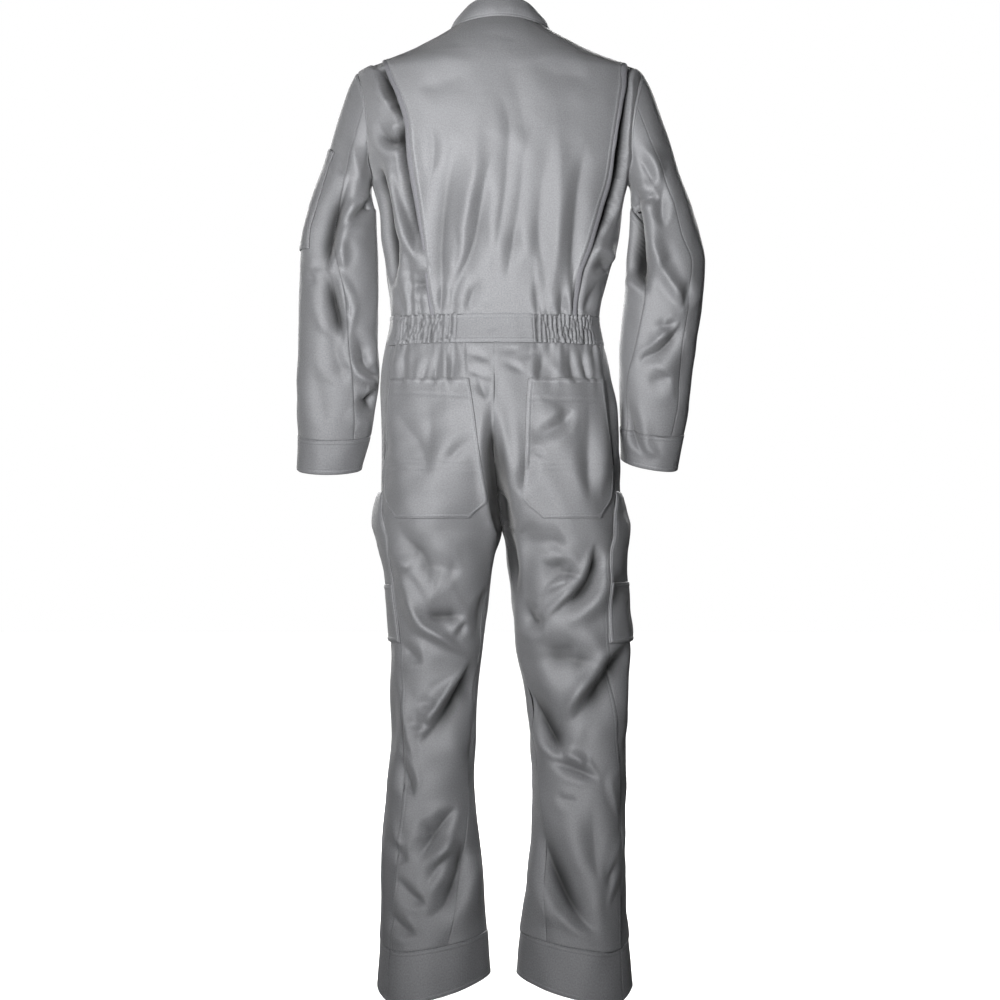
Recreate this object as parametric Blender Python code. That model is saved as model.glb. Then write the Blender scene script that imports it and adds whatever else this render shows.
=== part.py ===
"""Boiler suit, filled out in the pose of a wearer who isn't there, as cloth walls cut the way a maker cuts them.

Frame: metres, +Z up, the suit's front faces -Y, the wearer's left is +X. The origin is between the shoulders,
level with the points where the collar meets the shoulder seams, which is where a wearer carries the suit.
Sizes below are in millimetres and angles in degrees. A mesh is scaled to metres when it is made.

Three ring surfaces carry every panel:
  torso(bearing, level)        bearing 0 is centre back, 90 the wearer's left side, 180 centre front
  leg(side, turn, level)       turn 0 is the inside of the leg, 90 its back, 180 its outside, -90 its front
  sleeve(side, turn, run)      turn 0 is the outside of the arm, 90 its back, 180 the armpit side
A panel is a grid of points between two seam lines on one of them, trimmed back at its seams and thickened.
"""

import bpy
import numpy as np

MM = 0.001

# Driving sizes.
CLOTH = 1.5  # wall of one layer of cloth
POCKET_CLOTH = 1.3
BAND = 2.2  # wall of the waistband, cuffs and collar, which are two layers and a stiffener
SEAM = 0.5  # clear gap between the middles of two pieces at a seam
LAY = 1.9  # from the middle of a panel's wall to the middle of a piece laid on it
WAIST_TOP = -461
WAIST_BOTTOM = -504
CROTCH = -800
SHOULDER_TIP = -72  # level of the armhole's top, at the end of the shoulder seam
ARMPIT = -245
COLLAR_HEIGHT = 33
COLLAR_SIDE_DROP = 8  # how much lower the collar stands at the sides of the neck
CUFF_HEIGHT = 54
HEM_BAND = 76
FLY_HALF_WIDTH = 24
FLY_BOTTOM = -640
PLEAT_WIDTH = 14  # from a pleat's stitched edge to its free fold
PLEAT_UNDERLAY = 8  # how far a pleat and the side panel run in beneath the back
ARMHOLE_OPENING = {"back": 27, "front": 30}  # half angle that the armhole takes out of the torso's rings
CAP_END = -288  # the sleeve is a plain tube below this level
RUN_STEP = 100  # one unit of a sleeve's run below the cap

LEFT, RIGHT = 1, -1
SIDES = {"L": LEFT, "R": RIGHT}

GREY = (0.245, 0.245, 0.255)
GREY_BAND = (0.225, 0.225, 0.235)


# ---------------------------------------------------------------- tables of sizes


class Sections:
    """Rows of named sizes, one row for each station, with a smooth curve down every column."""

    def __init__(self, names, rows):
        self.names = names.split()
        data = np.array(rows, float)
        self.data = data[np.argsort(data[:, 0])]

    def __call__(self, name, at):
        """The column at any station. It is cubic between rows and never overshoots them."""
        x, y = self.data[:, 0], self.data[:, self.names.index(name)]
        step = np.diff(x)
        rise = np.diff(y) / step
        before, after = rise[:-1], rise[1:]
        same = before * after > 0
        inner = np.where(same, 2 * before * after / np.where(same, before + after, 1), 0)
        slope = np.concatenate([[rise[0]], inner, [rise[-1]]])
        at = np.clip(at, x[0], x[-1])
        k = np.clip(np.searchsorted(x, at, side="right") - 1, 0, len(step) - 1)
        t = (at - x[k]) / step[k]
        near = y[k] * (1 + 2 * t) * (1 - t) ** 2 + y[k + 1] * t**2 * (3 - 2 * t)
        return near + step[k] * t * (1 - t) * (slope[k] * (1 - t) - slope[k + 1] * t)


# The level is the height of a ring at the wearer's sides. Near the neck a ring stands higher at the back
# than at the sides and lower at the front: that is the shape of a neckline.
TORSO = Sections(
    "level z_back z_front middle half_width back front square",
    [
        (0, 14, -74, 0, 78, 60, 70, 2.0),
        (-16, 0, -88, 0, 104, 76, 78, 2.0),
        (-40, -28, -104, 0, 152, 94, 88, 2.0),
        (-72, -64, -122, 0, 227, 108, 100, 2.1),
        (-130, -128, -150, 0, 234, 120, 120, 2.2),
        (-200, -200, -204, 0, 226, 127, 133, 2.2),
        (-245, -245, -246, 0, 204, 127, 134, 2.2),
        (-290, -290, -290, -1, 193, 125, 133, 2.2),
        (-336, -336, -336, -1, 188, 122, 130, 2.2),
        (-395, -395, -395, 4, 175, 114, 126, 2.2),
        (-436, -436, -436, 7, 168, 106, 120, 2.2),
        (WAIST_TOP, WAIST_TOP, WAIST_TOP, 8, 166, 101, 114, 2.2),
        (WAIST_BOTTOM, WAIST_BOTTOM, WAIST_BOTTOM, 8, 173, 107, 118, 2.2),
    ],
)

# How far the stitched edge of each action pleat lies from the middle of the back.
PLEAT = Sections(
    "level L R",
    [
        (-50, 182, 193),
        (-92, 167, 192),
        (-117, 155, 189),
        (-162, 142, 182),
        (-195, 140, 177),
        (-245, 133, 169),
        (-290, 127, 154),
        (-352, 117, 137),
        (-400, 108, 126),
        (WAIST_TOP, 96, 123),
    ],
)

# Each leg is a tube whose middle stands off the suit's centre plane. Above the crotch the two tubes run into
# each other and are cut where they meet, which gives the curved centre seams of the seat and the front.
# The side seam is given by its distance from the centre plane, on the back, and the inseam by its turn.
CENTRE_PLANE = Sections(
    "level x",
    [(WAIST_BOTTOM, 8), (-576, 10), (-672, 8), (-768, 4), (-820, -7), (-1560, -7)],
)
LEG = {
    "L": Sections(
        "level middle half_width back front inseam side_seam",
        [
            (WAIST_BOTTOM, 0, 173, 107, 118, 0, 163),
            (-530, 8, 168, 113, 120, 0, 166),
            (-576, 24, 156, 123, 121, 0, 169),
            (-624, 40, 141, 131, 121, 0, 172),
            (-672, 55, 126, 134, 121, 0, 175),
            (-720, 72, 112, 132, 122, 0, 180),
            (-768, 88, 101, 126, 124, 0, 182),
            (CROTCH, 98, 97, 118, 125, 0, 182),
            (-840, 104, 89, 109, 123, 8, 181),
            (-912, 104, 79, 100, 116, 20, 173),
            (-984, 107, 73, 90, 106, 22, 164),
            (-1056, 113, 69, 81, 97, 22, 162),
            (-1128, 114, 67, 76, 91, 24, 160),
            (-1200, 119, 69, 76, 84, 28, 160),
            (-1296, 118, 78, 78, 76, 46, 168),
            (-1392, 114, 82, 78, 70, 64, 176),
            (-1464, 113, 86, 77, 66, 76, 182),
            (-1528, 113, 90, 76, 62, 80, 186),
        ],
    ),
    "R": Sections(
        "level middle half_width back front inseam side_seam",
        [
            (WAIST_BOTTOM, 0, 173, 107, 118, 0, 165),
            (-530, 8, 171, 113, 120, 0, 170),
            (-576, 24, 167, 123, 121, 0, 176),
            (-624, 40, 157, 131, 121, 0, 181),
            (-672, 55, 142, 134, 121, 0, 185),
            (-720, 72, 125, 132, 122, 0, 188),
            (-768, 88, 108, 126, 124, 0, 184),
            (CROTCH, 96, 97, 118, 125, 0, 175),
            (-840, 97, 93, 109, 123, 4, 165),
            (-912, 104, 91, 100, 116, 10, 162),
            (-984, 110, 91, 92, 106, 12, 165),
            (-1056, 116, 82, 83, 97, 16, 172),
            (-1128, 118, 77, 78, 91, 22, 178),
            (-1200, 119, 74, 76, 84, 30, 182),
            (-1296, 118, 75, 78, 76, 42, 185),
            (-1392, 113, 81, 78, 70, 54, 184),
            (-1464, 112, 87, 77, 66, 60, 185),
            (-1528, 112, 93, 76, 62, 62, 188),
        ],
    ),
}
LEG_SQUARE = 2.1
# How far a ring's inside, back and front stand above (+) or below (-) its outside, down the leg.
LEG_SLOPE = Sections(
    "level inside back front",
    [(WAIST_BOTTOM, 0, 0, 0), (-1200, 0, 0, 0), (-1392, 8, -10, 10), (-1528, 20, -22, 30)],
)
LEG_BOTTOM = -1528

# A back pocket's two edges, as distances from the centre plane. Its corners are cut off at the bottom.
BACK_POCKET = {
    "L": Sections(
        "level inner outer",
        [(-562, 39, 163), (-600, 33, 165), (-680, 25, 172), (-716, 21, 175), (-746, 19, 177), (-780, 46, 162)],
    ),
    "R": Sections(
        "level inner outer",
        [(-562, 54, 170), (-600, 51, 174), (-680, 47, 181), (-716, 45, 183), (-746, 42, 181), (-780, 70, 160)],
    ),
}

# The arms hang a little away from the body, with the forearms turned forwards.
ARM = {
    "L": Sections(
        "level middle_x middle_y half_x half_y tilt pitch back_seam inner_seam",
        [
            (CAP_END, 251, -2, 52, 70, 0, 0, 86, 184),
            (-330, 256, 0, 58, 68, 0, 0, 85, 186),
            (-375, 257, 2, 62, 65, 0, 0, 90, 188),
            (-432, 258, 2, 63, 63, 0, 0.02, 102, 190),
            (-504, 259, -6, 64, 60, 0, 0.08, 107, 192),
            (-552, 260, -14, 66, 58, 0, 0.14, 112, 194),
            (-600, 263, -24, 63, 55, 0, 0.18, 118, 196),
            (-648, 267, -34, 58, 51, 0, 0.2, 124, 198),
            (-702, 275, -45, 51, 47, 0, 0.2, 131, 200),
        ],
    ),
    "R": Sections(
        "level middle_x middle_y half_x half_y tilt pitch back_seam inner_seam",
        [
            (CAP_END, 258, -2, 49, 70, 0, 0, 69, 172),
            (-330, 263, 2, 56, 68, 0, 0, 66, 156),
            (-375, 265, 6, 62, 65, 0, 0, 53, 132),
            (-432, 261, 4, 62, 63, 0, 0.02, 52, 120),
            (-504, 253, -4, 61, 60, 0, 0.08, 54, 128),
            (-552, 250, -12, 58, 58, 0.02, 0.14, 52, 142),
            (-600, 248, -22, 55, 55, 0.06, 0.18, 53, 147),
            (-648, 244, -32, 50, 51, 0.12, 0.2, 58, 145),
            (-694, 240, -43, 45, 47, 0.18, 0.2, 63, 142),
        ],
    ),
}
SLEEVE_END = {"L": -702, "R": -694}
ARMHOLE_STEP = 22.5  # turn between two points of the armhole seam
BACK_SEAM_AT_ARMHOLE = 67.5
INNER_SEAM_AT_ARMHOLE = 180


# ---------------------------------------------------------------- ring surfaces


def power(value, exponent):
    return np.sign(value) * np.abs(value) ** exponent


def stack(x, y, z):
    return np.stack(np.broadcast_arrays(x, y, z), axis=-1)


def torso(bearing, level):
    b = np.radians(bearing)
    round_it = 2 / TORSO("square", level)
    behind = np.cos(b) > 0
    x = TORSO("middle", level) + TORSO("half_width", level) * power(np.sin(b), round_it)
    y = np.where(behind, TORSO("back", level), TORSO("front", level)) * power(np.cos(b), round_it)
    far = np.where(behind, TORSO("z_back", level), TORSO("z_front", level))
    return stack(x, y, level + (far - level) * np.cos(b) ** 2)


def torso_axis(level):
    return stack(TORSO("middle", level), 0, level)


def bearing_at(distance, level):
    """The bearing on the back at which a ring lies this far out from the middle."""
    share = np.clip(distance / TORSO("half_width", level), 0, 1)
    return np.degrees(np.arcsin(share ** (TORSO("square", level) / 2)))


def leg(side, turn, level):
    """The full tube of one leg. Its cut at the centre plane is made by centre_turn."""
    size, t = LEG[side], np.radians(turn)
    round_it = 2 / LEG_SQUARE
    off = size("middle", level) - size("half_width", level) * power(np.cos(t), round_it)
    behind = np.sin(t) > 0
    y = np.where(behind, size("back", level), size("front", level)) * power(np.sin(t), round_it)
    # The back of the hem hangs lowest towards its outside, at about turn 127.
    low = np.sin(np.pi * np.clip(np.mod(turn, 360) / 180, 0, 1) ** 2) ** 2 * LEG_SLOPE("back", level)
    lift = np.where(behind, low, np.sin(t) ** 2 * LEG_SLOPE("front", level))
    lift = lift + np.where(np.cos(t) > 0, LEG_SLOPE("inside", level), 0) * np.cos(t) ** 2
    return stack(CENTRE_PLANE("x", level) + SIDES[side] * off, y, level + lift)


def leg_axis(side, level):
    return stack(CENTRE_PLANE("x", level) + SIDES[side] * LEG[side]("middle", level), 0, level)


def turn_at(side, distance, level):
    """The turn on the back of a leg that lies this far out from the centre plane."""
    share = (LEG[side]("middle", level) - distance) / LEG[side]("half_width", level)
    return np.degrees(np.arccos(np.clip(power(share, LEG_SQUARE / 2), -1, 1)))


def centre_turn(side, level):
    """The turn at which a leg's ring reaches the centre plane, 0 below the crotch."""
    turn = np.full(np.shape(level), 60.0)
    for _ in range(6):
        turn = turn_at(side, SEAM / 2 + CLOTH / 2 * np.cos(np.radians(turn)), level)
    return turn


def armhole(side, turn):
    """A point of the armhole seam. Turn 180 is the armpit and 0 the end of the shoulder seam."""
    t = np.radians(turn)
    level = ARMPIT + (SHOULDER_TIP - ARMPIT) * (1 + np.cos(t)) / 2
    opening = np.where(np.sin(t) > 0, ARMHOLE_OPENING["back"], ARMHOLE_OPENING["front"])
    return SIDES[side] * (90 - opening * np.sin(t)), level


def level_of(run):
    return CAP_END - np.maximum(np.asarray(run, float) - 1, 0) * RUN_STEP


def run_of(level):
    return 1 + (CAP_END - level) / RUN_STEP


def sleeve(side, turn, run):
    """Run 0 is the armhole seam, 1 the end of the cap, and each further 1 is RUN_STEP down the arm."""
    size, t, level = ARM[side], np.radians(turn), level_of(run)
    round_it = 2 / 2.1
    out = size("half_x", level) * power(np.cos(t), round_it)
    behind = size("half_y", level) * power(np.sin(t), round_it)
    z = level - size("tilt", level) * out - size("pitch", level) * behind
    tube = stack(SIDES[side] * (size("middle_x", level) + out), size("middle_y", level) + behind, z)
    seam = torso(*armhole(side, turn))
    share = np.clip(run, 0, 1)
    under = np.maximum(-np.cos(t), 0) ** 2
    crown = 10 * (1 - (1 - share) ** 8) * (1 - share) ** 2 * np.maximum(np.cos(t), 0) ** 2
    gusset = 5 * (1 - (1 - share) ** 5) * (1 - share) * under
    clear = np.where(share < 1, 0.7 + 0.9 * np.sqrt(under), 0)
    return seam + (tube - seam) * share[..., None] + stack(SIDES[side] * (clear + crown + gusset), 0, 0)


def sleeve_axis(side, run):
    level = level_of(run)
    share = np.clip(run, 0, 1)
    x = 190 + (ARM[side]("middle_x", level) - 190) * share
    return stack(SIDES[side] * x, ARM[side]("middle_y", level), -165 + (level + 165) * share)


# ---------------------------------------------------------------- panels


def grid_between(surface, start, end, shares):
    """Points of a surface between two seam lines. Each line is a list of (angle, station), one for each row."""
    start, end = np.array(start, float), np.array(end, float)
    at = start[:, None] + (end - start)[:, None] * np.array(shares, float)[None, :, None]
    return surface(at[..., 0], at[..., 1])


def even(columns):
    return np.linspace(0, 1, columns + 1)


def unit(vectors):
    return vectors / np.maximum(np.linalg.norm(vectors, axis=-1, keepdims=True), 1e-9)


def edge_moved(edge, inner, distance):
    """The points of a grid's edge moved towards the next line, this far square to the edge."""
    along = unit(np.gradient(edge, axis=0))
    way = inner - edge
    square = way - (way * along).sum(-1, keepdims=True) * along
    reach = np.maximum(np.linalg.norm(square, axis=-1, keepdims=True), 0.4 * np.linalg.norm(way, axis=-1, keepdims=True))
    return edge + way / reach * distance


def trimmed(grid, first=0.5, last=0.5, low=0.5, high=0.5):
    """The grid moved back from its seams. Each share is of SEAM: 0.5 leaves half the gap, 0 trims nothing.

    A share is one number, or one for each point of that edge.
    """
    grid = grid.copy()
    for edge, inner, share in ((0, 1, low), (-1, -2, high)):
        distance = SEAM * np.broadcast_to(share, grid.shape[1])[:, None]
        grid[edge] = edge_moved(grid[edge], grid[inner], distance)
    for edge, inner, share in ((0, 1, first), (-1, -2, last)):
        distance = SEAM * np.broadcast_to(share, grid.shape[0])[:, None]
        grid[:, edge] = edge_moved(grid[:, edge], grid[:, inner], distance)
    return grid


def normals(grid, axis):
    """Unit normals of a grid, pointing away from the axis inside it."""
    normal = unit(np.cross(np.gradient(grid, axis=0), np.gradient(grid, axis=1)))
    return normal * np.sign(((grid - axis) * normal).sum(-1).mean())


def moved_out(grid, axis, distance):
    """The grid moved away from its axis, by one distance or by one for each point."""
    return grid + normals(grid, axis) * (np.zeros(grid.shape[:2]) + distance)[..., None]


def material(name, colour, roughness):
    found = bpy.data.materials.get(name)
    if found:
        return found
    made = bpy.data.materials.new(name)
    made.use_nodes = True
    shader = made.node_tree.nodes["Principled BSDF"]
    shader.inputs["Base Color"].default_value = (*colour, 1)
    shader.inputs["Roughness"].default_value = roughness
    return made


def cloth(name, grid, axis, thickness=CLOTH):
    """One cloth piece: the grid as a mesh whose faces point out, with a Solidify modifier for its wall."""
    rows, columns = grid.shape[:2]
    index = np.arange(rows * columns).reshape(rows, columns)
    corners = [index[:-1, :-1], index[1:, :-1], index[1:, 1:], index[:-1, 1:]]
    normal = np.cross(np.gradient(grid, axis=0), np.gradient(grid, axis=1))
    if (normal * (grid - axis)).sum(-1).mean() < 0:
        corners.reverse()
    faces = np.stack([c.ravel() for c in corners], axis=-1)
    mesh = bpy.data.meshes.new(name)
    mesh.from_pydata((grid.reshape(-1, 3) * MM).tolist(), [], faces.tolist())
    mesh.shade_smooth()
    mesh.materials.append(material("grey_twill_band", GREY_BAND, 0.66) if thickness == BAND
                          else material("grey_twill", GREY, 0.62))
    made = bpy.data.objects.new(name, mesh)
    bpy.context.scene.collection.objects.link(made)
    wall = made.modifiers.new("wall", "SOLIDIFY")
    wall.thickness = thickness * MM
    wall.offset = 0
    made.parent = suit


# ---------------------------------------------------------------- the upper body

SIDE_ROWS = np.array([WAIST_TOP, -436, -400, -360, -320, -282, ARMPIT])
ARMHOLE_TURNS = np.arange(180, -1, -ARMHOLE_STEP)[1:]
PLEAT_ROWS = np.array([*SIDE_ROWS, -222, -194, -162, -130, -102, -80, -64, -52])
NECK_ROWS = np.array([-36, -18, 0])
BACK_COLUMNS = 5
ON_CREST = 1.2  # share of SEAM trimmed at the shoulder seam, where two walls meet over a ridge
FRONT_SHARES = np.array([0, 0.13, 0.27, 0.41, 0.56, 0.71, 0.85, 1])


def side_line(side, half):
    """Stations of a torso panel's outer edge, from the waist up the side seam and round the armhole."""
    sign = 1 if half == "back" else -1
    line = [(SIDES[side] * 90, level) for level in SIDE_ROWS]
    return line + [armhole(side, sign * turn) for turn in ARMHOLE_TURNS]


def pleat_line(side, shift=0):
    """Stations of a line beside the pleat's stitched edge, from the waist up to the shoulder seam."""
    levels = np.linspace(-120, -20, 400)
    top = levels[np.argmin(abs(TORSO("half_width", levels) - PLEAT(side, levels) - shift))]
    rows = WAIST_TOP + (PLEAT_ROWS - WAIST_TOP) * (top - WAIST_TOP) / (PLEAT_ROWS[-1] - WAIST_TOP)
    bearing = bearing_at(PLEAT(side, rows) + shift, rows)
    bearing[-1] = 90
    return list(zip(SIDES[side] * bearing, rows))


def line_axis(line):
    return torso_axis(np.array([level for _, level in line]))[:, None]


def pleat_depth(rows):
    """How deep the pleat is set in, as a share, from the waist to the shoulder."""
    return np.interp(even(rows - 1), [0, 0.2, 0.7, 0.93, 1], [0.6, 1, 1, 0.8, 0.6])[:, None]


def back_centre():
    """The back between the pleats. Above them it reaches the shoulder seams and the neckline."""
    left, right = (pleat_line(s) + [(SIDES[s] * 90, level) for level in NECK_ROWS] for s in "LR")
    middle = [(0, (a[1] + b[1]) / 2) for a, b in zip(left, right)]
    halves = [grid_between(torso, middle, edge, even(BACK_COLUMNS)) for edge in (left, right)]
    grid = np.concatenate([halves[1][:, :0:-1], halves[0]], axis=1)
    crest = np.where(np.arange(len(left)) < len(PLEAT_ROWS) - 1, 0.5, ON_CREST)
    cloth("back_centre", trimmed(grid, first=crest, last=crest), line_axis(middle))


def back_pleat(side):
    """An action pleat: from its stitched edge out to a free fold, then back in under itself."""
    edge, fold, under = (pleat_line(side, shift) for shift in (0, PLEAT_WIDTH, -PLEAT_UNDERLAY))
    depth = pleat_depth(len(edge))
    out = grid_between(torso, edge, fold, even(2))
    back_in = grid_between(torso, fold, under, even(3))
    axis = line_axis(edge)
    out = moved_out(out, axis, np.array([0, 0.5, 0.9]) * depth)
    back_in = moved_out(back_in, axis, np.array([-1.6, -2.9, -3.5, -3.6]))
    grid = trimmed(np.concatenate([out, back_in], axis=1), last=0, high=ON_CREST)
    # The two layers face opposite ways, so the outward side is taken from the upper one.
    inside = grid.mean(axis=1, keepdims=True) - 2 * (out.mean(axis=1, keepdims=True) - axis)
    cloth(f"back_pleat_{side}", grid, inside, 1.2)


def back_side(side):
    """The side of the back, from under the pleat to the side seam and the armhole."""
    inner = pleat_line(side, -PLEAT_UNDERLAY + 1)
    grid = grid_between(torso, inner, side_line(side, "back"), [0, 0.22, 0.42, 0.7, 1])
    sink = -np.array([6.2, 7.5, 8.5, 3.0, 0]) * np.maximum(pleat_depth(len(inner)), [1, 0.85, 0.6, 0, 0])
    grid = trimmed(moved_out(grid, line_axis(inner), sink), first=0, high=ON_CREST)
    cloth(f"back_side_{side}", grid, line_axis(inner))


def front_rows():
    """Levels of the front's rows at centre front, evenly spaced beside the armhole and the shoulder."""
    beside = np.linspace(ARMPIT, -64, len(ARMHOLE_TURNS) + 1)[1:]
    return np.concatenate([SIDE_ROWS, beside, [-50, *NECK_ROWS]])


def front_grid(side):
    outer = side_line(side, "front") + [(SIDES[side] * 90, level) for level in [-52, *NECK_ROWS]]
    inner = [(SIDES[side] * 180, level) for level in front_rows()]
    crest = np.where(np.arange(len(outer)) < len(outer) - 5, 0.5, ON_CREST)
    return trimmed(grid_between(torso, outer, inner, FRONT_SHARES), first=crest)


def front(side):
    cloth(f"front_{side}", front_grid(side), torso_axis(front_rows())[:, None])


def collar():
    """A stand collar round the neckline, open at centre front."""
    half = np.concatenate([90 * even(BACK_COLUMNS), 90 + 90 * FRONT_SHARES[1:]])
    bearing = np.concatenate([-half[:0:-1], half])
    foot = torso(bearing, np.zeros(len(bearing)))
    inward = unit((foot.mean(axis=0) - foot) * (1, 1, 0))
    share = even(2)[:, None, None]
    aside = np.sin(np.radians(bearing))[:, None] ** 2
    lean = (9 + 10 * aside) * share - 3 * np.sin(np.pi * share)
    height = (COLLAR_HEIGHT - COLLAR_SIDE_DROP * aside) * share
    grid = foot + inward * lean + stack(0, 0, 0.7 + height[..., 0])
    axis = stack(0, grid[..., 1].mean(), grid[..., 2])
    cloth("collar", trimmed(grid, first=3, last=3, low=0.5, high=0), axis, BAND)


# ---------------------------------------------------------------- the waistband

FLAT_BACK = 19  # bearing where the flat middle of the back band ends
ELASTIC_END = 66  # bearing where the gathered part ends and the front band begins
BAND_ROWS = np.array([WAIST_TOP, (WAIST_TOP + WAIST_BOTTOM) / 2, WAIST_BOTTOM])


def band_grid(start, end, columns):
    grid = grid_between(torso, [(start, v) for v in BAND_ROWS], [(end, v) for v in BAND_ROWS], even(columns))
    return trimmed(grid)


def waistband(name, start, end, columns):
    cloth(name, band_grid(start, end, columns)[::-1], torso_axis(BAND_ROWS)[::-1, None], BAND)


# ---------------------------------------------------------------- the legs

LEG_ROWS = np.array(
    [WAIST_BOTTOM, -532, -562, -600, -640, -680, -716, -746, -780, CROTCH, -820, -845, -885, -930]
    + [-978, -1040, -1110, -1185, -1265, -1350, -1410, LEG_BOTTOM + HEM_BAND]
)
HEM_ROWS = np.array([LEG_BOTTOM + HEM_BAND, LEG_BOTTOM + HEM_BAND / 2, LEG_BOTTOM])
LEG_BACK_COLUMNS = 7
LEG_FRONT_SHARES = np.array([0, 0.12, 0.24, 0.36, 0.48, 0.6, 0.7, 0.8, 0.9, 1])
POCKET_ROWS = slice(2, 9)
THIGH_POCKET_ROWS = slice(8, 15)
THIGH_POCKET_COLUMNS = 4


def seam_turn(side, level):
    return turn_at(side, LEG[side]("side_seam", level), level)


def leg_back_grid(side, rows):
    """Columns 1 and 6 are the back pocket's edges, so that the pocket is made of the panel's own points."""
    inseam = np.where(rows >= CROTCH, centre_turn(side, rows), LEG[side]("inseam", rows))
    seam = seam_turn(side, rows)
    pocket = BACK_POCKET[side]
    level = pocket.data[:, 0]
    first = np.interp(level, rows[::-1], inseam[::-1])
    whole = np.interp(level, rows[::-1], seam[::-1]) - first
    shares = []
    for name, plain in (("inner", 1 / LEG_BACK_COLUMNS), ("outer", 1 - 1 / LEG_BACK_COLUMNS)):
        share = (turn_at(side, pocket(name, level), level) - first) / whole
        known = np.concatenate([[-860], level, [WAIST_BOTTOM]])
        shares.append(np.interp(rows, known, np.concatenate([[plain], share, [plain]])))
    inner, outer = shares
    lines = [inner + (outer - inner) * s for s in even(LEG_BACK_COLUMNS - 2)]
    share = np.stack([0 * inner, *lines, 0 * inner + 1], axis=1)
    turn = inseam[:, None] + (seam - inseam)[:, None] * share
    return leg(side, turn, rows[:, None] + 0 * turn)


def leg_front_grid(side, rows):
    inseam = np.where(rows >= CROTCH, -centre_turn(side, rows), LEG[side]("inseam", rows))
    start, end = list(zip(inseam, rows)), list(zip(seam_turn(side, rows) - 360, rows))
    return grid_between(lambda turn, level: leg(side, turn, level), start, end, LEG_FRONT_SHARES)


def leg_panels(side):
    axis = leg_axis(side, LEG_ROWS)[:, None]
    back = trimmed(leg_back_grid(side, LEG_ROWS))
    cloth(f"leg_back_{side}", back, axis)
    cloth(f"leg_front_{side}", trimmed(leg_front_grid(side, LEG_ROWS)), axis)
    pocket = back[POCKET_ROWS, 1:-1]
    cloth(f"back_pocket_{side}", moved_out(pocket, axis[POCKET_ROWS], LAY), axis[POCKET_ROWS], POCKET_CLOTH)


def leg_hem(side):
    """The deep band at the foot of a leg, one piece with its vent at the side seam."""
    ahead, behind = leg_front_grid(side, HEM_ROWS)[:, ::-1], leg_back_grid(side, HEM_ROWS)
    grid = np.concatenate([ahead, behind[:, 1:]], axis=1)
    cloth(f"leg_hem_{side}", trimmed(grid, first=3, last=3, high=0), leg_axis(side, HEM_ROWS)[:, None])


def thigh_pocket(side):
    """The thigh pocket lies on the front panel from the side seam forwards. Its mouth stands open."""
    rows, count = THIGH_POCKET_ROWS, THIGH_POCKET_COLUMNS + 1
    front_panel = trimmed(leg_front_grid(side, LEG_ROWS))[:, -count:]
    # The mouth slopes up forwards from the side seam, between two rows of the panel.
    rise = np.array([0.85, 0.8, 0.7, 0.45, 0.15])[:, None]
    mouth = front_panel[rows.start] * (1 - rise) + front_panel[rows.start - 1] * rise
    panel = trimmed(np.concatenate([mouth[None], front_panel[rows]]), last=1, low=0, high=0)
    levels = np.concatenate([[LEG_ROWS[rows.start] + 20], LEG_ROWS[rows]])
    axis = leg_axis(side, levels)[:, None]
    across = np.sin(np.pi * even(THIGH_POCKET_COLUMNS)) ** 0.7
    bulge = np.array([12, 11, 10, 8, 5.5, 3, 1.5, 0])[:, None] * across
    pouch = moved_out(panel, axis, LAY + bulge)
    cloth(f"thigh_pocket_{side}", pouch, axis, POCKET_CLOTH)
    small = trimmed(pouch[-3:, -3:], last=2, low=0, high=-4)
    cloth(f"thigh_pocket_small_{side}", moved_out(small, axis[-3:], LAY - 0.1), axis[-3:], POCKET_CLOTH)


# ---------------------------------------------------------------- the sleeves

ARM_RUNS = [0, 0.14, 0.32, 0.54, 0.77, 1, *(run_of(v) for v in (-312, -350, -392, -436, -482, -532, -584))]
TOP_COLUMNS = int((BACK_SEAM_AT_ARMHOLE + INNER_SEAM_AT_ARMHOLE) / ARMHOLE_STEP)
UNDER_COLUMNS = int((INNER_SEAM_AT_ARMHOLE - BACK_SEAM_AT_ARMHOLE) / ARMHOLE_STEP)
SLEEVE_POCKET_ROWS = slice(3, 7)
SLEEVE_POCKET_COLUMNS = slice(2, 6)


def sleeve_grids(side, runs):
    """The top and the under sleeve. Their seams follow the armhole's points at the top."""
    runs = np.array(runs, float)
    share, level = np.clip(runs, 0, 1), level_of(runs)
    back = BACK_SEAM_AT_ARMHOLE + (ARM[side]("back_seam", level) - BACK_SEAM_AT_ARMHOLE) * share
    inner = INNER_SEAM_AT_ARMHOLE + (ARM[side]("inner_seam", level) - INNER_SEAM_AT_ARMHOLE) * share
    edge, under, top = (list(zip(turn, runs)) for turn in (back, inner, inner - 360))
    surface = lambda turn, run: sleeve(side, turn, run)
    return (
        grid_between(surface, edge, top, even(TOP_COLUMNS)),
        grid_between(surface, edge, under, even(UNDER_COLUMNS)),
    )


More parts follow.
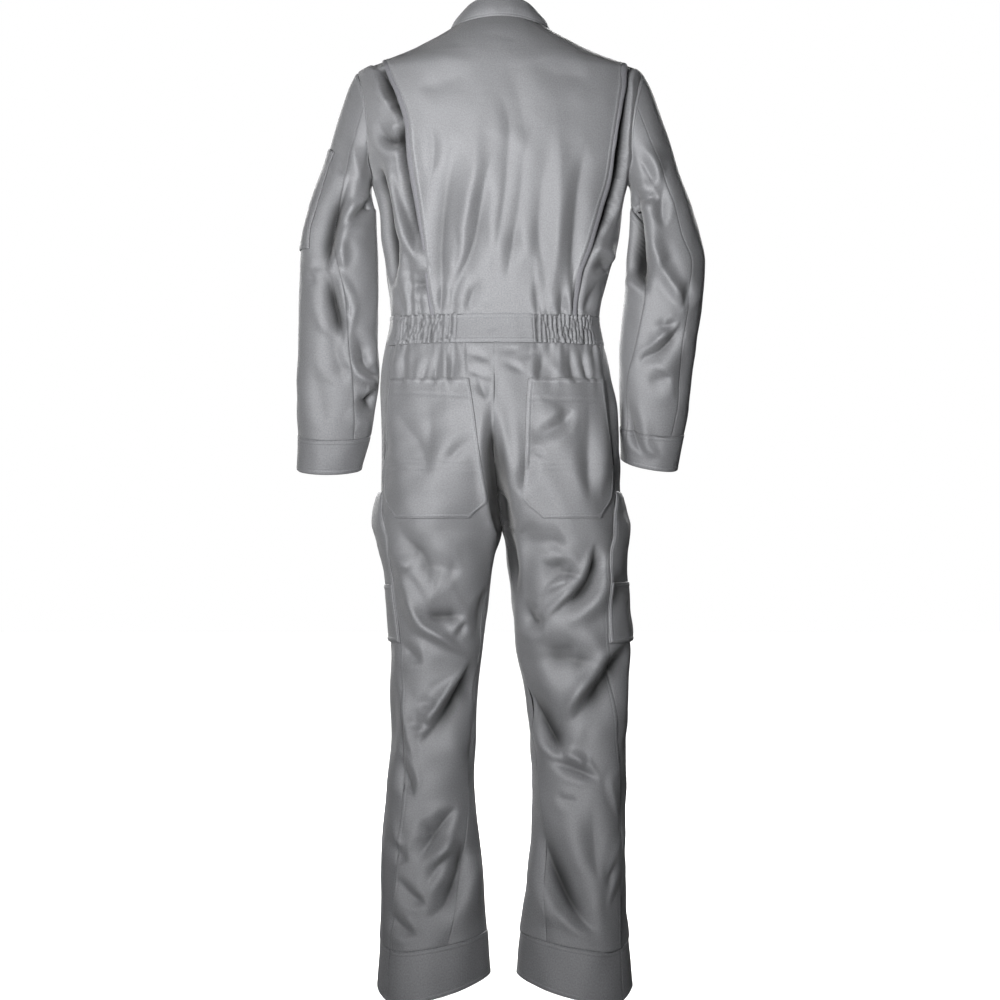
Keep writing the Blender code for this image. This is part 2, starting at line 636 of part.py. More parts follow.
def sleeve_pieces(side):
    end = SLEEVE_END[side]
    runs = [*ARM_RUNS, run_of(end + CUFF_HEIGHT)]
    axis = sleeve_axis(side, np.array(runs))[:, None]
    top, under = (trimmed(grid) for grid in sleeve_grids(side, runs))
    cloth(f"sleeve_top_{side}", top, axis)
    cloth(f"sleeve_under_{side}", under, axis)
    cuff_runs = np.array([run_of(end + CUFF_HEIGHT), run_of(end + CUFF_HEIGHT / 2), run_of(end)])
    cuff_top, cuff_under = sleeve_grids(side, cuff_runs)
    grid = np.concatenate([cuff_under[:, ::-1], cuff_top[:, 1:]], axis=1)
    cloth(f"cuff_{side}", trimmed(grid, high=0), sleeve_axis(side, cuff_runs)[:, None], BAND)
    if side == "L":
        rows, columns = SLEEVE_POCKET_ROWS, SLEEVE_POCKET_COLUMNS
        cloth("sleeve_pocket_L", moved_out(top[rows, columns], axis[rows], LAY), axis[rows], POCKET_CLOTH)


# ---------------------------------------------------------------- the front closure


def beside_centre(left, right):
    """Three points a row, on the two front panels: FLY_HALF_WIDTH to each side of centre front, and between."""
    rows = []
    for columns in (right, left):
        centre, outer = columns
        reach = np.linalg.norm(outer - centre, axis=-1, keepdims=True)
        rows.append(centre + (outer - centre) / reach * FLY_HALF_WIDTH)
    middle = (left[0] + right[0]) / 2
    return np.stack([rows[0], middle, rows[1]], axis=1)


def fly():
    """The strip that covers the front opening, from the collar to above the crotch."""
    body = {s: front_grid(s)[::-1] for s in "LR"}
    band = {s: band_grid(SIDES[s] * ELASTIC_END, SIDES[s] * 180, 9)[::-1] for s in "LR"}
    lower = LEG_ROWS[LEG_ROWS >= FLY_BOTTOM]
    legs = {s: trimmed(leg_front_grid(s, LEG_ROWS))[: len(lower)] for s in "LR"}
    parts = [
        beside_centre(*[(body[s][:, -1], body[s][:, -2]) for s in "LR"]),
        beside_centre(*[(band[s][1:2, -1], band[s][1:2, -2]) for s in "LR"]),
        beside_centre(*[(legs[s][:, 0], legs[s][:, 1]) for s in "LR"]),
    ]
    grid = np.concatenate(parts)
    body_rows = len(parts[0])
    # It stands out over the waistband, and over the hollow where the legs' fronts meet.
    lift = np.full(len(grid), LAY)
    lift[body_rows - 1 :] = LAY + 0.5
    lift[-3:] = LAY + 1.2
    axis = grid.mean(axis=1, keepdims=True) * (0, 0, 1)
    cloth("front_fly", moved_out(grid, axis, lift[:, None]), axis, POCKET_CLOTH)


# ---------------------------------------------------------------- the whole suit

for old in list(bpy.data.objects):
    bpy.data.objects.remove(old, do_unlink=True)
suit = bpy.data.objects.new("suit", None)
bpy.context.scene.collection.objects.link(suit)
back_centre()
collar()
fly()
waistband("waistband_back", -FLAT_BACK, FLAT_BACK, 4)
for key, way in SIDES.items():
    back_pleat(key)
    back_side(key)
    front(key)
    waistband(f"waistband_elastic_{key}", way * FLAT_BACK, way * ELASTIC_END, 5)
    waistband(f"waistband_front_{key}", way * ELASTIC_END, way * 180, 9)
    sleeve_pieces(key)
    leg_panels(key)
    leg_hem(key)
    thigh_pocket(key)
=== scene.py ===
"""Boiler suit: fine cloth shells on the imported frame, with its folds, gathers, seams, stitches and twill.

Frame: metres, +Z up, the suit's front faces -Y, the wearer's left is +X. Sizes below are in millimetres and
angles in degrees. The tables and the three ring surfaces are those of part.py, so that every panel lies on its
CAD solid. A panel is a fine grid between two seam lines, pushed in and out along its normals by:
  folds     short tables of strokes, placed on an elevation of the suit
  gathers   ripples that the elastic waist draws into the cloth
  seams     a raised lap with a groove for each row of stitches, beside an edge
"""

import bpy
import numpy as np
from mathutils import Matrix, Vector


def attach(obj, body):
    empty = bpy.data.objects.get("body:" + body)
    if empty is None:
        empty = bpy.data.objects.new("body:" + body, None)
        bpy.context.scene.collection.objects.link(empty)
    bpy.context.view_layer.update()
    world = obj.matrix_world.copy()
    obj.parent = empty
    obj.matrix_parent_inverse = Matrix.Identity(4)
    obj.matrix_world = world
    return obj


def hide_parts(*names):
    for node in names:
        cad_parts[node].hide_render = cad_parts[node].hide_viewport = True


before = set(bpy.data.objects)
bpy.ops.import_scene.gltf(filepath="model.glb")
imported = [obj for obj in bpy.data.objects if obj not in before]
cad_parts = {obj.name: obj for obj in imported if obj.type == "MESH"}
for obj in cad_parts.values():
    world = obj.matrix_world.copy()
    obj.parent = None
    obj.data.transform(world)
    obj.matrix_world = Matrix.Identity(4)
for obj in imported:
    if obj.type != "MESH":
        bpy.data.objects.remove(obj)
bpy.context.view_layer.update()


MM = 0.001

# Driving sizes.
CLOTH = 1.5  # wall of one layer of cloth
POCKET_CLOTH = 1.3
BAND = 2.2  # wall of the waistband, cuffs and collar, which are two layers and a stiffener
SEAM = -1.2  # the gap between two pieces at a seam: here they overlap by this much
LAY = 1.9  # from the middle of a panel's wall to the middle of a piece laid on it
WAIST_TOP = -461
WAIST_BOTTOM = -504
CROTCH = -800
SHOULDER_TIP = -72  # level of the armhole's top, at the end of the shoulder seam
ARMPIT = -245
COLLAR_HEIGHT = 33
COLLAR_SIDE_DROP = 8  # how much lower the collar stands at the sides of the neck
CUFF_HEIGHT = 54
HEM_BAND = 76
FLY_HALF_WIDTH = 24
FLY_BOTTOM = -640
PLEAT_UNDERLAY = 8  # how far a pleat and the side panel run in beneath the back
ARMHOLE_OPENING = {"back": 27, "front": 30}  # half angle that the armhole takes out of the torso's rings
CAP_END = -288  # the sleeve is a plain tube below this level
RUN_STEP = 100  # one unit of a sleeve's run below the cap

SIDES = {"L": 1, "R": -1}


# ---------------------------------------------------------------- tables of sizes


class Sections:
    """Rows of named sizes, one row for each station, with a smooth curve down every column."""

    def __init__(self, names, rows):
        self.names = names.split()
        data = np.array(rows, float)
        self.data = data[np.argsort(data[:, 0])]

    def __call__(self, name, at):
        """The column at any station. It is cubic between rows and never overshoots them."""
        x, y = self.data[:, 0], self.data[:, self.names.index(name)]
        step = np.diff(x)
        rise = np.diff(y) / step
        before, after = rise[:-1], rise[1:]
        same = before * after > 0
        inner = np.where(same, 2 * before * after / np.where(same, before + after, 1), 0)
        slope = np.concatenate([[rise[0]], inner, [rise[-1]]])
        at = np.clip(at, x[0], x[-1])
        k = np.clip(np.searchsorted(x, at, side="right") - 1, 0, len(step) - 1)
        t = (at - x[k]) / step[k]
        near = y[k] * (1 + 2 * t) * (1 - t) ** 2 + y[k + 1] * t**2 * (3 - 2 * t)
        return near + step[k] * t * (1 - t) * (slope[k] * (1 - t) - slope[k + 1] * t)


# The level is the height of a ring at the wearer's sides. Near the neck a ring stands higher at the back
# than at the sides and lower at the front: that is the shape of a neckline.
TORSO = Sections(
    "level z_back z_front middle half_width back front square",
    [
        (0, 14, -74, 0, 78, 60, 70, 2.0),
        (-16, 0, -88, 0, 104, 76, 78, 2.0),
        (-40, -28, -104, 0, 152, 94, 88, 2.0),
        (-72, -64, -122, 0, 227, 108, 100, 2.1),
        (-130, -128, -150, 0, 234, 120, 120, 2.2),
        (-200, -200, -204, 0, 226, 127, 133, 2.2),
        (-245, -245, -246, 0, 204, 127, 134, 2.2),
        (-290, -290, -290, -1, 193, 125, 133, 2.2),
        (-336, -336, -336, -1, 188, 122, 130, 2.2),
        (-395, -395, -395, 4, 175, 114, 126, 2.2),
        (-436, -436, -436, 7, 168, 106, 120, 2.2),
        (WAIST_TOP, WAIST_TOP, WAIST_TOP, 8, 166, 101, 114, 2.2),
        (WAIST_BOTTOM, WAIST_BOTTOM, WAIST_BOTTOM, 8, 173, 107, 118, 2.2),
    ],
)

# How far the stitched edge of each action pleat lies from the middle of the back.
PLEAT = Sections(
    "level L R",
    [
        (-50, 182, 193),
        (-92, 167, 192),
        (-117, 155, 189),
        (-162, 142, 182),
        (-195, 140, 177),
        (-245, 133, 169),
        (-290, 127, 154),
        (-352, 117, 137),
        (-400, 108, 126),
        (WAIST_TOP, 96, 123),
    ],
)

# Each leg is a tube whose middle stands off the suit's centre plane. Above the crotch the two tubes run into
# each other and are cut where they meet, which gives the curved centre seams of the seat and the front.
# The side seam is given by its distance from the centre plane, on the back, and the inseam by its turn.
CENTRE_PLANE = Sections(
    "level x",
    [(WAIST_BOTTOM, 8), (-576, 10), (-672, 8), (-768, 4), (-820, -7), (-1560, -7)],
)
LEG = {
    "L": Sections(
        "level middle half_width back front inseam side_seam",
        [
            (WAIST_BOTTOM, 0, 173, 107, 118, 0, 163),
            (-530, 8, 168, 113, 120, 0, 166),
            (-576, 24, 156, 123, 121, 0, 169),
            (-624, 40, 141, 131, 121, 0, 172),
            (-672, 55, 126, 134, 121, 0, 175),
            (-720, 72, 112, 132, 122, 0, 180),
            (-768, 88, 101, 126, 124, 0, 182),
            (CROTCH, 98, 97, 118, 125, 0, 182),
            (-840, 104, 89, 109, 123, 8, 181),
            (-912, 104, 79, 100, 116, 20, 173),
            (-984, 107, 73, 90, 106, 22, 164),
            (-1056, 113, 69, 81, 97, 22, 162),
            (-1128, 114, 67, 76, 91, 24, 160),
            (-1200, 119, 69, 76, 84, 28, 160),
            (-1296, 118, 78, 78, 76, 46, 168),
            (-1392, 114, 82, 78, 70, 64, 176),
            (-1464, 113, 86, 77, 66, 76, 182),
            (-1528, 113, 90, 76, 62, 80, 186),
        ],
    ),
    "R": Sections(
        "level middle half_width back front inseam side_seam",
        [
            (WAIST_BOTTOM, 0, 173, 107, 118, 0, 165),
            (-530, 8, 171, 113, 120, 0, 170),
            (-576, 24, 167, 123, 121, 0, 176),
            (-624, 40, 157, 131, 121, 0, 181),
            (-672, 55, 142, 134, 121, 0, 185),
            (-720, 72, 125, 132, 122, 0, 188),
            (-768, 88, 108, 126, 124, 0, 184),
            (CROTCH, 96, 97, 118, 125, 0, 175),
            (-840, 97, 93, 109, 123, 4, 165),
            (-912, 104, 91, 100, 116, 10, 162),
            (-984, 110, 91, 92, 106, 12, 165),
            (-1056, 116, 82, 83, 97, 16, 172),
            (-1128, 118, 77, 78, 91, 22, 178),
            (-1200, 119, 74, 76, 84, 30, 182),
            (-1296, 118, 75, 78, 76, 42, 185),
            (-1392, 113, 81, 78, 70, 54, 184),
            (-1464, 112, 87, 77, 66, 60, 185),
            (-1528, 112, 93, 76, 62, 62, 188),
        ],
    ),
}
LEG_SQUARE = 2.1
# How far a ring's inside, back and front stand above (+) or below (-) its outside, down the leg.
LEG_SLOPE = Sections(
    "level inside back front",
    [(WAIST_BOTTOM, 0, 0, 0), (-1200, 0, 0, 0), (-1392, 8, -10, 10), (-1528, 20, -22, 30)],
)
LEG_BOTTOM = -1528

# A back pocket's two edges, as distances from the centre plane. Its corners are cut off at the bottom.
BACK_POCKET = {
    "L": Sections(
        "level inner outer",
        [(-562, 39, 163), (-600, 33, 165), (-680, 25, 172), (-716, 21, 175), (-746, 19, 177), (-780, 46, 162)],
    ),
    "R": Sections(
        "level inner outer",
        [(-562, 54, 170), (-600, 51, 174), (-680, 47, 181), (-716, 45, 183), (-746, 42, 181), (-780, 70, 160)],
    ),
}

# The arms hang a little away from the body, with the forearms turned forwards.
ARM = {
    "L": Sections(
        "level middle_x middle_y half_x half_y tilt pitch back_seam inner_seam",
        [
            (CAP_END, 251, -2, 52, 70, 0, 0, 86, 184),
            (-330, 256, 0, 58, 68, 0, 0, 85, 186),
            (-375, 257, 2, 62, 65, 0, 0, 90, 188),
            (-432, 258, 2, 63, 63, 0, 0.02, 102, 190),
            (-504, 259, -6, 64, 60, 0, 0.08, 107, 192),
            (-552, 260, -14, 66, 58, 0, 0.14, 112, 194),
            (-600, 263, -24, 63, 55, 0, 0.18, 118, 196),
            (-648, 267, -34, 58, 51, 0, 0.2, 124, 198),
            (-702, 275, -45, 51, 47, 0, 0.2, 131, 200),
        ],
    ),
    "R": Sections(
        "level middle_x middle_y half_x half_y tilt pitch back_seam inner_seam",
        [
            (CAP_END, 258, -2, 49, 70, 0, 0, 69, 172),
            (-330, 263, 2, 56, 68, 0, 0, 66, 156),
            (-375, 265, 6, 62, 65, 0, 0, 53, 132),
            (-432, 261, 4, 62, 63, 0, 0.02, 52, 120),
            (-504, 253, -4, 61, 60, 0, 0.08, 54, 128),
            (-552, 250, -12, 58, 58, 0.02, 0.14, 52, 142),
            (-600, 248, -22, 55, 55, 0.06, 0.18, 53, 147),
            (-648, 244, -32, 50, 51, 0.12, 0.2, 58, 145),
            (-694, 240, -43, 45, 47, 0.18, 0.2, 63, 142),
        ],
    ),
}
SLEEVE_END = {"L": -702, "R": -694}
ARMHOLE_STEP = 22.5  # turn between two points of the armhole seam
BACK_SEAM_AT_ARMHOLE = 67.5
INNER_SEAM_AT_ARMHOLE = 180


# ---------------------------------------------------------------- ring surfaces


def power(value, exponent):
    return np.sign(value) * np.abs(value) ** exponent


def stack(x, y, z):
    return np.stack(np.broadcast_arrays(x, y, z), axis=-1)


def torso(bearing, level):
    b = np.radians(bearing)
    round_it = 2 / TORSO("square", level)
    behind = np.cos(b) > 0
    x = TORSO("middle", level) + TORSO("half_width", level) * power(np.sin(b), round_it)
    y = np.where(behind, TORSO("back", level), TORSO("front", level)) * power(np.cos(b), round_it)
    far = np.where(behind, TORSO("z_back", level), TORSO("z_front", level))
    return stack(x, y, level + (far - level) * np.cos(b) ** 2)


def torso_axis(level):
    return stack(TORSO("middle", level), 0, level)


def bearing_at(distance, level):
    """The bearing on the back at which a ring lies this far out from the middle."""
    share = np.clip(distance / TORSO("half_width", level), 0, 1)
    return np.degrees(np.arcsin(share ** (TORSO("square", level) / 2)))


def leg(side, turn, level):
    """The full tube of one leg. Its cut at the centre plane is made by centre_turn."""
    size, t = LEG[side], np.radians(turn)
    round_it = 2 / LEG_SQUARE
    off = size("middle", level) - size("half_width", level) * power(np.cos(t), round_it)
    behind = np.sin(t) > 0
    y = np.where(behind, size("back", level), size("front", level)) * power(np.sin(t), round_it)
    # The back of the hem hangs lowest towards its outside, at about turn 127.
    low = np.sin(np.pi * np.clip(np.mod(turn, 360) / 180, 0, 1) ** 2) ** 2 * LEG_SLOPE("back", level)
    lift = np.where(behind, low, np.sin(t) ** 2 * LEG_SLOPE("front", level))
    lift = lift + np.where(np.cos(t) > 0, LEG_SLOPE("inside", level), 0) * np.cos(t) ** 2
    return stack(CENTRE_PLANE("x", level) + SIDES[side] * off, y, level + lift)


def leg_axis(side, level):
    return stack(CENTRE_PLANE("x", level) + SIDES[side] * LEG[side]("middle", level), 0, level)


def turn_at(side, distance, level):
    """The turn on the back of a leg that lies this far out from the centre plane."""
    share = (LEG[side]("middle", level) - distance) / LEG[side]("half_width", level)
    return np.degrees(np.arccos(np.clip(power(share, LEG_SQUARE / 2), -1, 1)))


def centre_turn(side, level):
    """The turn at which a leg's ring reaches the centre plane, 0 below the crotch."""
    turn = np.full(np.shape(level), 60.0)
    for _ in range(6):
        turn = turn_at(side, SEAM / 2 + CLOTH / 2 * np.cos(np.radians(turn)), level)
    return turn


def armhole(side, turn):
    """A point of the armhole seam. Turn 180 is the armpit and 0 the end of the shoulder seam."""
    t = np.radians(turn)
    level = ARMPIT + (SHOULDER_TIP - ARMPIT) * (1 + np.cos(t)) / 2
    opening = np.where(np.sin(t) > 0, ARMHOLE_OPENING["back"], ARMHOLE_OPENING["front"])
    return SIDES[side] * (90 - opening * np.sin(t)), level


def level_of(run):
    return CAP_END - np.maximum(np.asarray(run, float) - 1, 0) * RUN_STEP


def run_of(level):
    return 1 + (CAP_END - level) / RUN_STEP


def sleeve(side, turn, run):
    """Run 0 is the armhole seam, 1 the end of the cap, and each further 1 is RUN_STEP down the arm."""
    size, t, level = ARM[side], np.radians(turn), level_of(run)
    round_it = 2 / 2.1
    out = size("half_x", level) * power(np.cos(t), round_it)
    behind = size("half_y", level) * power(np.sin(t), round_it)
    z = level - size("tilt", level) * out - size("pitch", level) * behind
    tube = stack(SIDES[side] * (size("middle_x", level) + out), size("middle_y", level) + behind, z)
    seam = torso(*armhole(side, turn))
    share = np.clip(run, 0, 1)
    under = np.maximum(-np.cos(t), 0) ** 2
    crown = 10 * (1 - (1 - share) ** 8) * (1 - share) ** 2 * np.maximum(np.cos(t), 0) ** 2
    gusset = 5 * (1 - (1 - share) ** 5) * (1 - share) * under
    clear = np.where(share < 1, 0.7 + 0.9 * np.sqrt(under), 0)
    return seam + (tube - seam) * share[..., None] + stack(SIDES[side] * (clear + crown + gusset), 0, 0)


def sleeve_axis(side, run):
    level = level_of(run)
    share = np.clip(run, 0, 1)
    x = 190 + (ARM[side]("middle_x", level) - 190) * share
    return stack(SIDES[side] * x, ARM[side]("middle_y", level), -165 + (level + 165) * share)


# ---------------------------------------------------------------- panels


def grid_between(surface, start, end, shares):
    """Points of a surface between two seam lines. Each line is a list of (angle, station), one for each row."""
    start, end = np.array(start, float), np.array(end, float)
    at = start[:, None] + (end - start)[:, None] * np.array(shares, float)[None, :, None]
    return surface(at[..., 0], at[..., 1])


def even(columns):
    return np.linspace(0, 1, columns + 1)


def unit(vectors):
    return vectors / np.maximum(np.linalg.norm(vectors, axis=-1, keepdims=True), 1e-9)


def edge_moved(edge, inner, distance):
    """The points of a grid's edge moved towards the next line, this far square to the edge."""
    along = unit(np.gradient(edge, axis=0))
    way = inner - edge
    square = way - (way * along).sum(-1, keepdims=True) * along
    reach, least = (np.linalg.norm(v, axis=-1, keepdims=True) for v in (square, 0.4 * way))
    reach = np.maximum(reach, least)
    return edge + way / reach * distance


def trimmed(grid, first=0.5, last=0.5, low=0.5, high=0.5):
    """The grid moved back from its seams. Each share is of SEAM: 0.5 leaves half the gap, 0 trims nothing.

    A share is one number, or one for each point of that edge.
    """
    grid = grid.copy()
    for edge, inner, share in ((0, 1, low), (-1, -2, high)):
        distance = SEAM * np.broadcast_to(share, grid.shape[1])[:, None]
        grid[edge] = edge_moved(grid[edge], grid[inner], distance)
    for edge, inner, share in ((0, 1, first), (-1, -2, last)):
        distance = SEAM * np.broadcast_to(share, grid.shape[0])[:, None]
        grid[:, edge] = edge_moved(grid[:, edge], grid[:, inner], distance)
    return grid


def normals(grid, axis):
    """Unit normals of a grid, pointing away from the axis inside it."""
    normal = unit(np.cross(np.gradient(grid, axis=0), np.gradient(grid, axis=1)))
    return normal * np.sign(((grid - axis) * normal).sum(-1).mean())


# ---------------------------------------------------------------- materials


def twill(name, colour, roughness, pitch=0.95, sheen=0.12, weave=0.6, gloss=0.28):
    """Satin-faced cotton twill: diagonal ribs, slubs and faint mottling, with shade painted into its colour where a
    fold is deep.
    """
    made = bpy.data.materials.new(name)
    made.use_nodes = True
    tree = made.node_tree

    def feed(socket, value):
        """Links another node's output into a socket, or sets the socket to a plain value."""
        if isinstance(value, bpy.types.NodeSocket):
            tree.links.new(value, socket)
        else:
            socket.default_value = value

    def node(kind, output, sockets, **properties):
        """One output of a new node with these sockets fed and these properties set."""
        new = tree.nodes.new(kind)
        for key, value in properties.items():
            setattr(new, key, value)
        for key, value in sockets.items():
            feed(new.inputs[key], value)
        return new.outputs[output]

    def noise(scale, detail, stretch=(1, 1, 1)):
        place = node("ShaderNodeMapping", "Vector", {"Vector": cloth, "Scale": stretch})
        sockets = {"Vector": place, "Scale": scale, "Detail": detail, "Roughness": 0.55}
        return node("ShaderNodeTexNoise", "Fac", sockets)

    def spread(source, low, high, reach=0.25):
        ends = {"From Min": 0.5 - reach, "From Max": 0.5 + reach, "To Min": low, "To Max": high}
        return node("ShaderNodeMapRange", "Result", {"Value": source, **ends})

    def maths(operation, *values):
        return node("ShaderNodeMath", "Value", dict(enumerate(values)), operation=operation)

    cloth = node("ShaderNodeUVMap", "UV", {}, uv_map="cloth")
    wave = {"Vector": cloth, "Scale": 0.444 / (pitch * MM), "Distortion": 0.6, "Detail": 1, "Detail Scale": 2}
    ribs = node("ShaderNodeTexWave", "Fac", wave, wave_type="BANDS", bands_direction="DIAGONAL")
    slubs, mottle, clouds = noise(420, 3, (1, 0.25, 1)), noise(430, 3), noise(14, 2)
    seam, painted_shade = (node("ShaderNodeAttribute", "Fac", {}, attribute_name=key) for key in ("seam", "painted_shade"))
    tone = maths("MULTIPLY", spread(mottle, 0.84, 1.16, 0.18), spread(clouds, 0.97, 1.03))
    tone = maths("MULTIPLY", tone, spread(ribs, 0.95, 1.05))
    # painted shade in the seams' grooves and along pieces' edges, darker the deeper they sink; raised laps are a
    # little lighter
    tone = maths("MULTIPLY", tone, maths("MULTIPLY_ADD", maths("MINIMUM", seam, 0.1), 0.6, 0.98))
    # painted shade: the colour is darkened where a fold, gap or gather sinks deep
    tone = maths("MULTIPLY", tone, maths("MULTIPLY_ADD", painted_shade, -0.93, 1))
    grey = node("ShaderNodeCombineColor", "Color", {"Red": tone, "Green": tone, "Blue": tone})
    paint = {0: 1, 6: (*colour, 1), 7: grey}  # the share, and the two colours that are multiplied
    relief = maths("ADD", maths("MULTIPLY", ribs, 0.6), maths("MULTIPLY", slubs, 0.5))
    relief = maths("ADD", relief, maths("MULTIPLY", mottle, 1.2))
    finish = {
        "Base Color": node("ShaderNodeMix", 2, paint, data_type="RGBA", blend_type="MULTIPLY"),
        "Roughness": spread(slubs, roughness - 0.05, roughness + 0.05),
        "Normal": node("ShaderNodeBump", "Normal", {"Strength": weave, "Distance": 0.4 * MM, "Height": relief}),
        "Metallic": gloss,
        "Specular IOR Level": 0.5,
        "Sheen Weight": sheen,
        "Sheen Roughness": 0.45,
    }
    for socket, value in finish.items():
        feed(tree.nodes["Principled BSDF"].inputs[socket], value)
    return made


INSIDE = {"roughness": 0.75, "sheen": 0.05, "gloss": 0}
MATERIALS = {
    "twill": twill("twill", (0.154, 0.156, 0.163), 0.61),
    "twill_inside": twill("twill_inside", (0.11, 0.11, 0.12), **INSIDE),
    "band": twill("band", (0.143, 0.145, 0.152), 0.63),
    "band_inside": twill("band_inside", (0.10, 0.10, 0.11), **INSIDE),
    "thread": twill("thread", (0.11, 0.11, 0.12), 0.6, pitch=0.4, weave=0.3),
}
# A material slot's name, and the outside and inside of the cloth.
FINISH = ("grey_twill", "twill", "twill_inside")
BAND_FINISH = ("grey_twill_band", "band", "band_inside")


# ---------------------------------------------------------------- folds, gathers and seams as heights

FOLD_GAIN = 1.95  # how much deeper the folds are pushed than their tables say
EYE, EYE_LEVEL = 5000, -752  # where the viewer of the elevations stands: how far out, and at what height
STRAIGHT_BACK = 0.45  # a normal with this share towards the viewer takes the whole of a fold
FOLD_PUSH = (0.35, 1, 0.6)  # the share of each direction of the normal that a fold moves the cloth along
SEAM_STATIONS = np.array([0, 0.9, 1.9, 2.8, 4.6, 6.2, 7.2, 8.2, 10])  # distances in from a seam
FIRST_ROW, SECOND_ROW = 2, 6  # which of those stations the two rows of stitches follow
# The heights at those stations, for each kind of seam or edge.
LAP = np.array([-0.7, 0.5, 0.05, 0.6, 0.7, 0.55, -0.05, 0.1, 0])
EDGE_LAP = np.array([-1.0, 0.6, -0.1, 0.6, 0.7, 0.5, -0.1, 0.1, 0])
TUCKED = np.array([-1.5, -0.8, -0.3, -0.1, 0, 0, 0, 0, 0])
FLAT = np.array([-0.8, 0.0, -0.3, 0.05, 0.05, 0.0, -0.3, 0, 0])
PLAIN_SEAM = np.array([-0.6, -0.2, 0, 0, 0, 0, 0, 0, 0])
EDGE = np.array([-0.2, 0.35, 0.0, 0.35, 0.2, 0.1, 0, 0, 0])
ROLLED = np.array([-0.9, 0.3, 0.0, 0.35, 0.3, 0.3, -0.15, 0.05, 0])


def elevation(points, face=1):
    """Each point as a viewer behind the suit (face 1) or before it (face -1) sees it: right and up."""
    scale = EYE / (EYE - face * points[..., 1])
    return -face * points[..., 0] * scale, EYE_LEVEL + (points[..., 2] - EYE_LEVEL) * scale


def ease(value):
    value = np.clip(value, 0, 1)
    return value * value * (3 - 2 * value)


def bell(value, exponent=2):
    return np.exp(-(np.abs(value) ** exponent))


def reaches(grid):
    """How far along its row each point of a grid lies."""
    reach = np.linalg.norm(np.diff(grid, axis=1), axis=-1).cumsum(axis=1)
    return np.concatenate([np.zeros((len(grid), 1)), reach], axis=1)


def curve_through(points, steps=7):
    """A smooth curve through a stroke's points, as short segments."""
    p = np.array(points, float)
    ends = np.concatenate([[2 * p[0] - p[1]], p, [2 * p[-1] - p[-2]]])
    t = np.linspace(0, 1, steps + 1)[:-1, None]
    spans = []
    for a, b, c, d in zip(ends, ends[1:], ends[2:], ends[3:]):
        bend = t**2 * (a - 2.5 * b + 2 * c - d / 2) + t**3 * (1.5 * (b - c) + (d - a) / 2)
        spans.append(b + t * (c - a) / 2 + bend)
    return np.concatenate([*spans, p[-1:]])


def stroked(right, up, folds):
    """The sum of the folds at each point of an elevation.

    A fold is (height, width on its left, width on its right, points): left and right as it is walked, and a
    height below 0 is a trough. It starts wide and soft and ends narrow, and narrow folds are lower.
    """
    total = np.zeros(right.shape)
    for height, left, wide, points in folds:
        height = height * FOLD_GAIN * min(1, (left + wide) / 22)
        path = curve_through(points)
        reach = 4.6 * max(left, wide)
        low, high = path.min(axis=0) - reach, path.max(axis=0) + reach
        near = (right > low[0]) & (right < high[0]) & (up > low[1]) & (up < high[1])
        if not near.any():
            continue
        at = np.stack([right[near], up[near]], axis=-1)[:, None]
        start, way = path[:-1], np.diff(path, axis=0)
        length = np.linalg.norm(way, axis=-1)
        share = np.clip(((at - start) * way).sum(-1) / length**2, 0, 1)
        off = at - start - share[..., None] * way
        distance = np.linalg.norm(off, axis=-1)
        best = distance.argmin(axis=1)
        each = np.arange(len(best))
        along = (np.concatenate([[0], length.cumsum()])[best] + share[each, best] * length[best]) / length.sum()
        fade = ease(along / 0.55) * ease((1 - along) / 0.3)
        side = way[best, 0] * off[each, best, 1] - way[best, 1] * off[each, best, 0]
        width = np.where(side > 0, left, wide) * (1.35 - 0.6 * along) * (0.55 + 0.45 * fade)
        off = distance[each, best] / width
        total[near] += height * fade * (1.1 * bell(off, 1.6) - 0.25 * bell(off - 2.2))
    return total


def uneven(points, wavelength, stretch, seed):
    """Smooth unevenness of about unit height: a sum of seeded waves, stretched along the cloth's fall."""
    rng = np.random.default_rng(seed)
    total = np.zeros(points.shape[:-1])
    for _ in range(14):
        way = rng.normal(size=3) * (1, 1, 1 / stretch)
        waves = points @ (way / np.linalg.norm(way)) * 2 * np.pi / (wavelength * rng.uniform(0.6, 1.9))
        total += np.sin(waves + rng.uniform(0, 6.283))
    return total / 3.7


def ripples(right, up, gathers):
    """What an elastic draws into the cloth beside it: ripples that widen and fade away from it."""
    total = np.zeros(right.shape)
    for line, way, start, end, height, wavelength, reach, seed in gathers:
        rng = np.random.default_rng(seed)
        away = (up - line) * way
        window = ease((right - start) / 14 + 0.5) * ease((end - right) / 14 + 0.5) * ease(away / 6 + 1)
        away = np.maximum(away, 0)
        lean = (right - (start + end) / 2) * (1 - 0.12 * away / reach)
        drift = 5 * np.sin(lean / 19 + rng.uniform(0, 6)) + 3 * np.sin(lean / 8.3 + rng.uniform(0, 6))
        strength = 0.6 + 0.4 * np.sin(lean / 15 + rng.uniform(0, 6))
        fine = np.sin(2 * np.pi * (lean + drift) / wavelength) * np.exp(-away / (reach * 0.22))
        broad = np.sin(2 * np.pi * (lean + 1.4 * drift) / (2.3 * wavelength) + 1) * bell(away / reach)
        broad = broad * (1 - 0.6 * np.exp(-away / (reach * 0.2)))
        total += height * window * strength * (0.7 * fine + 1.5 * broad)
    return total


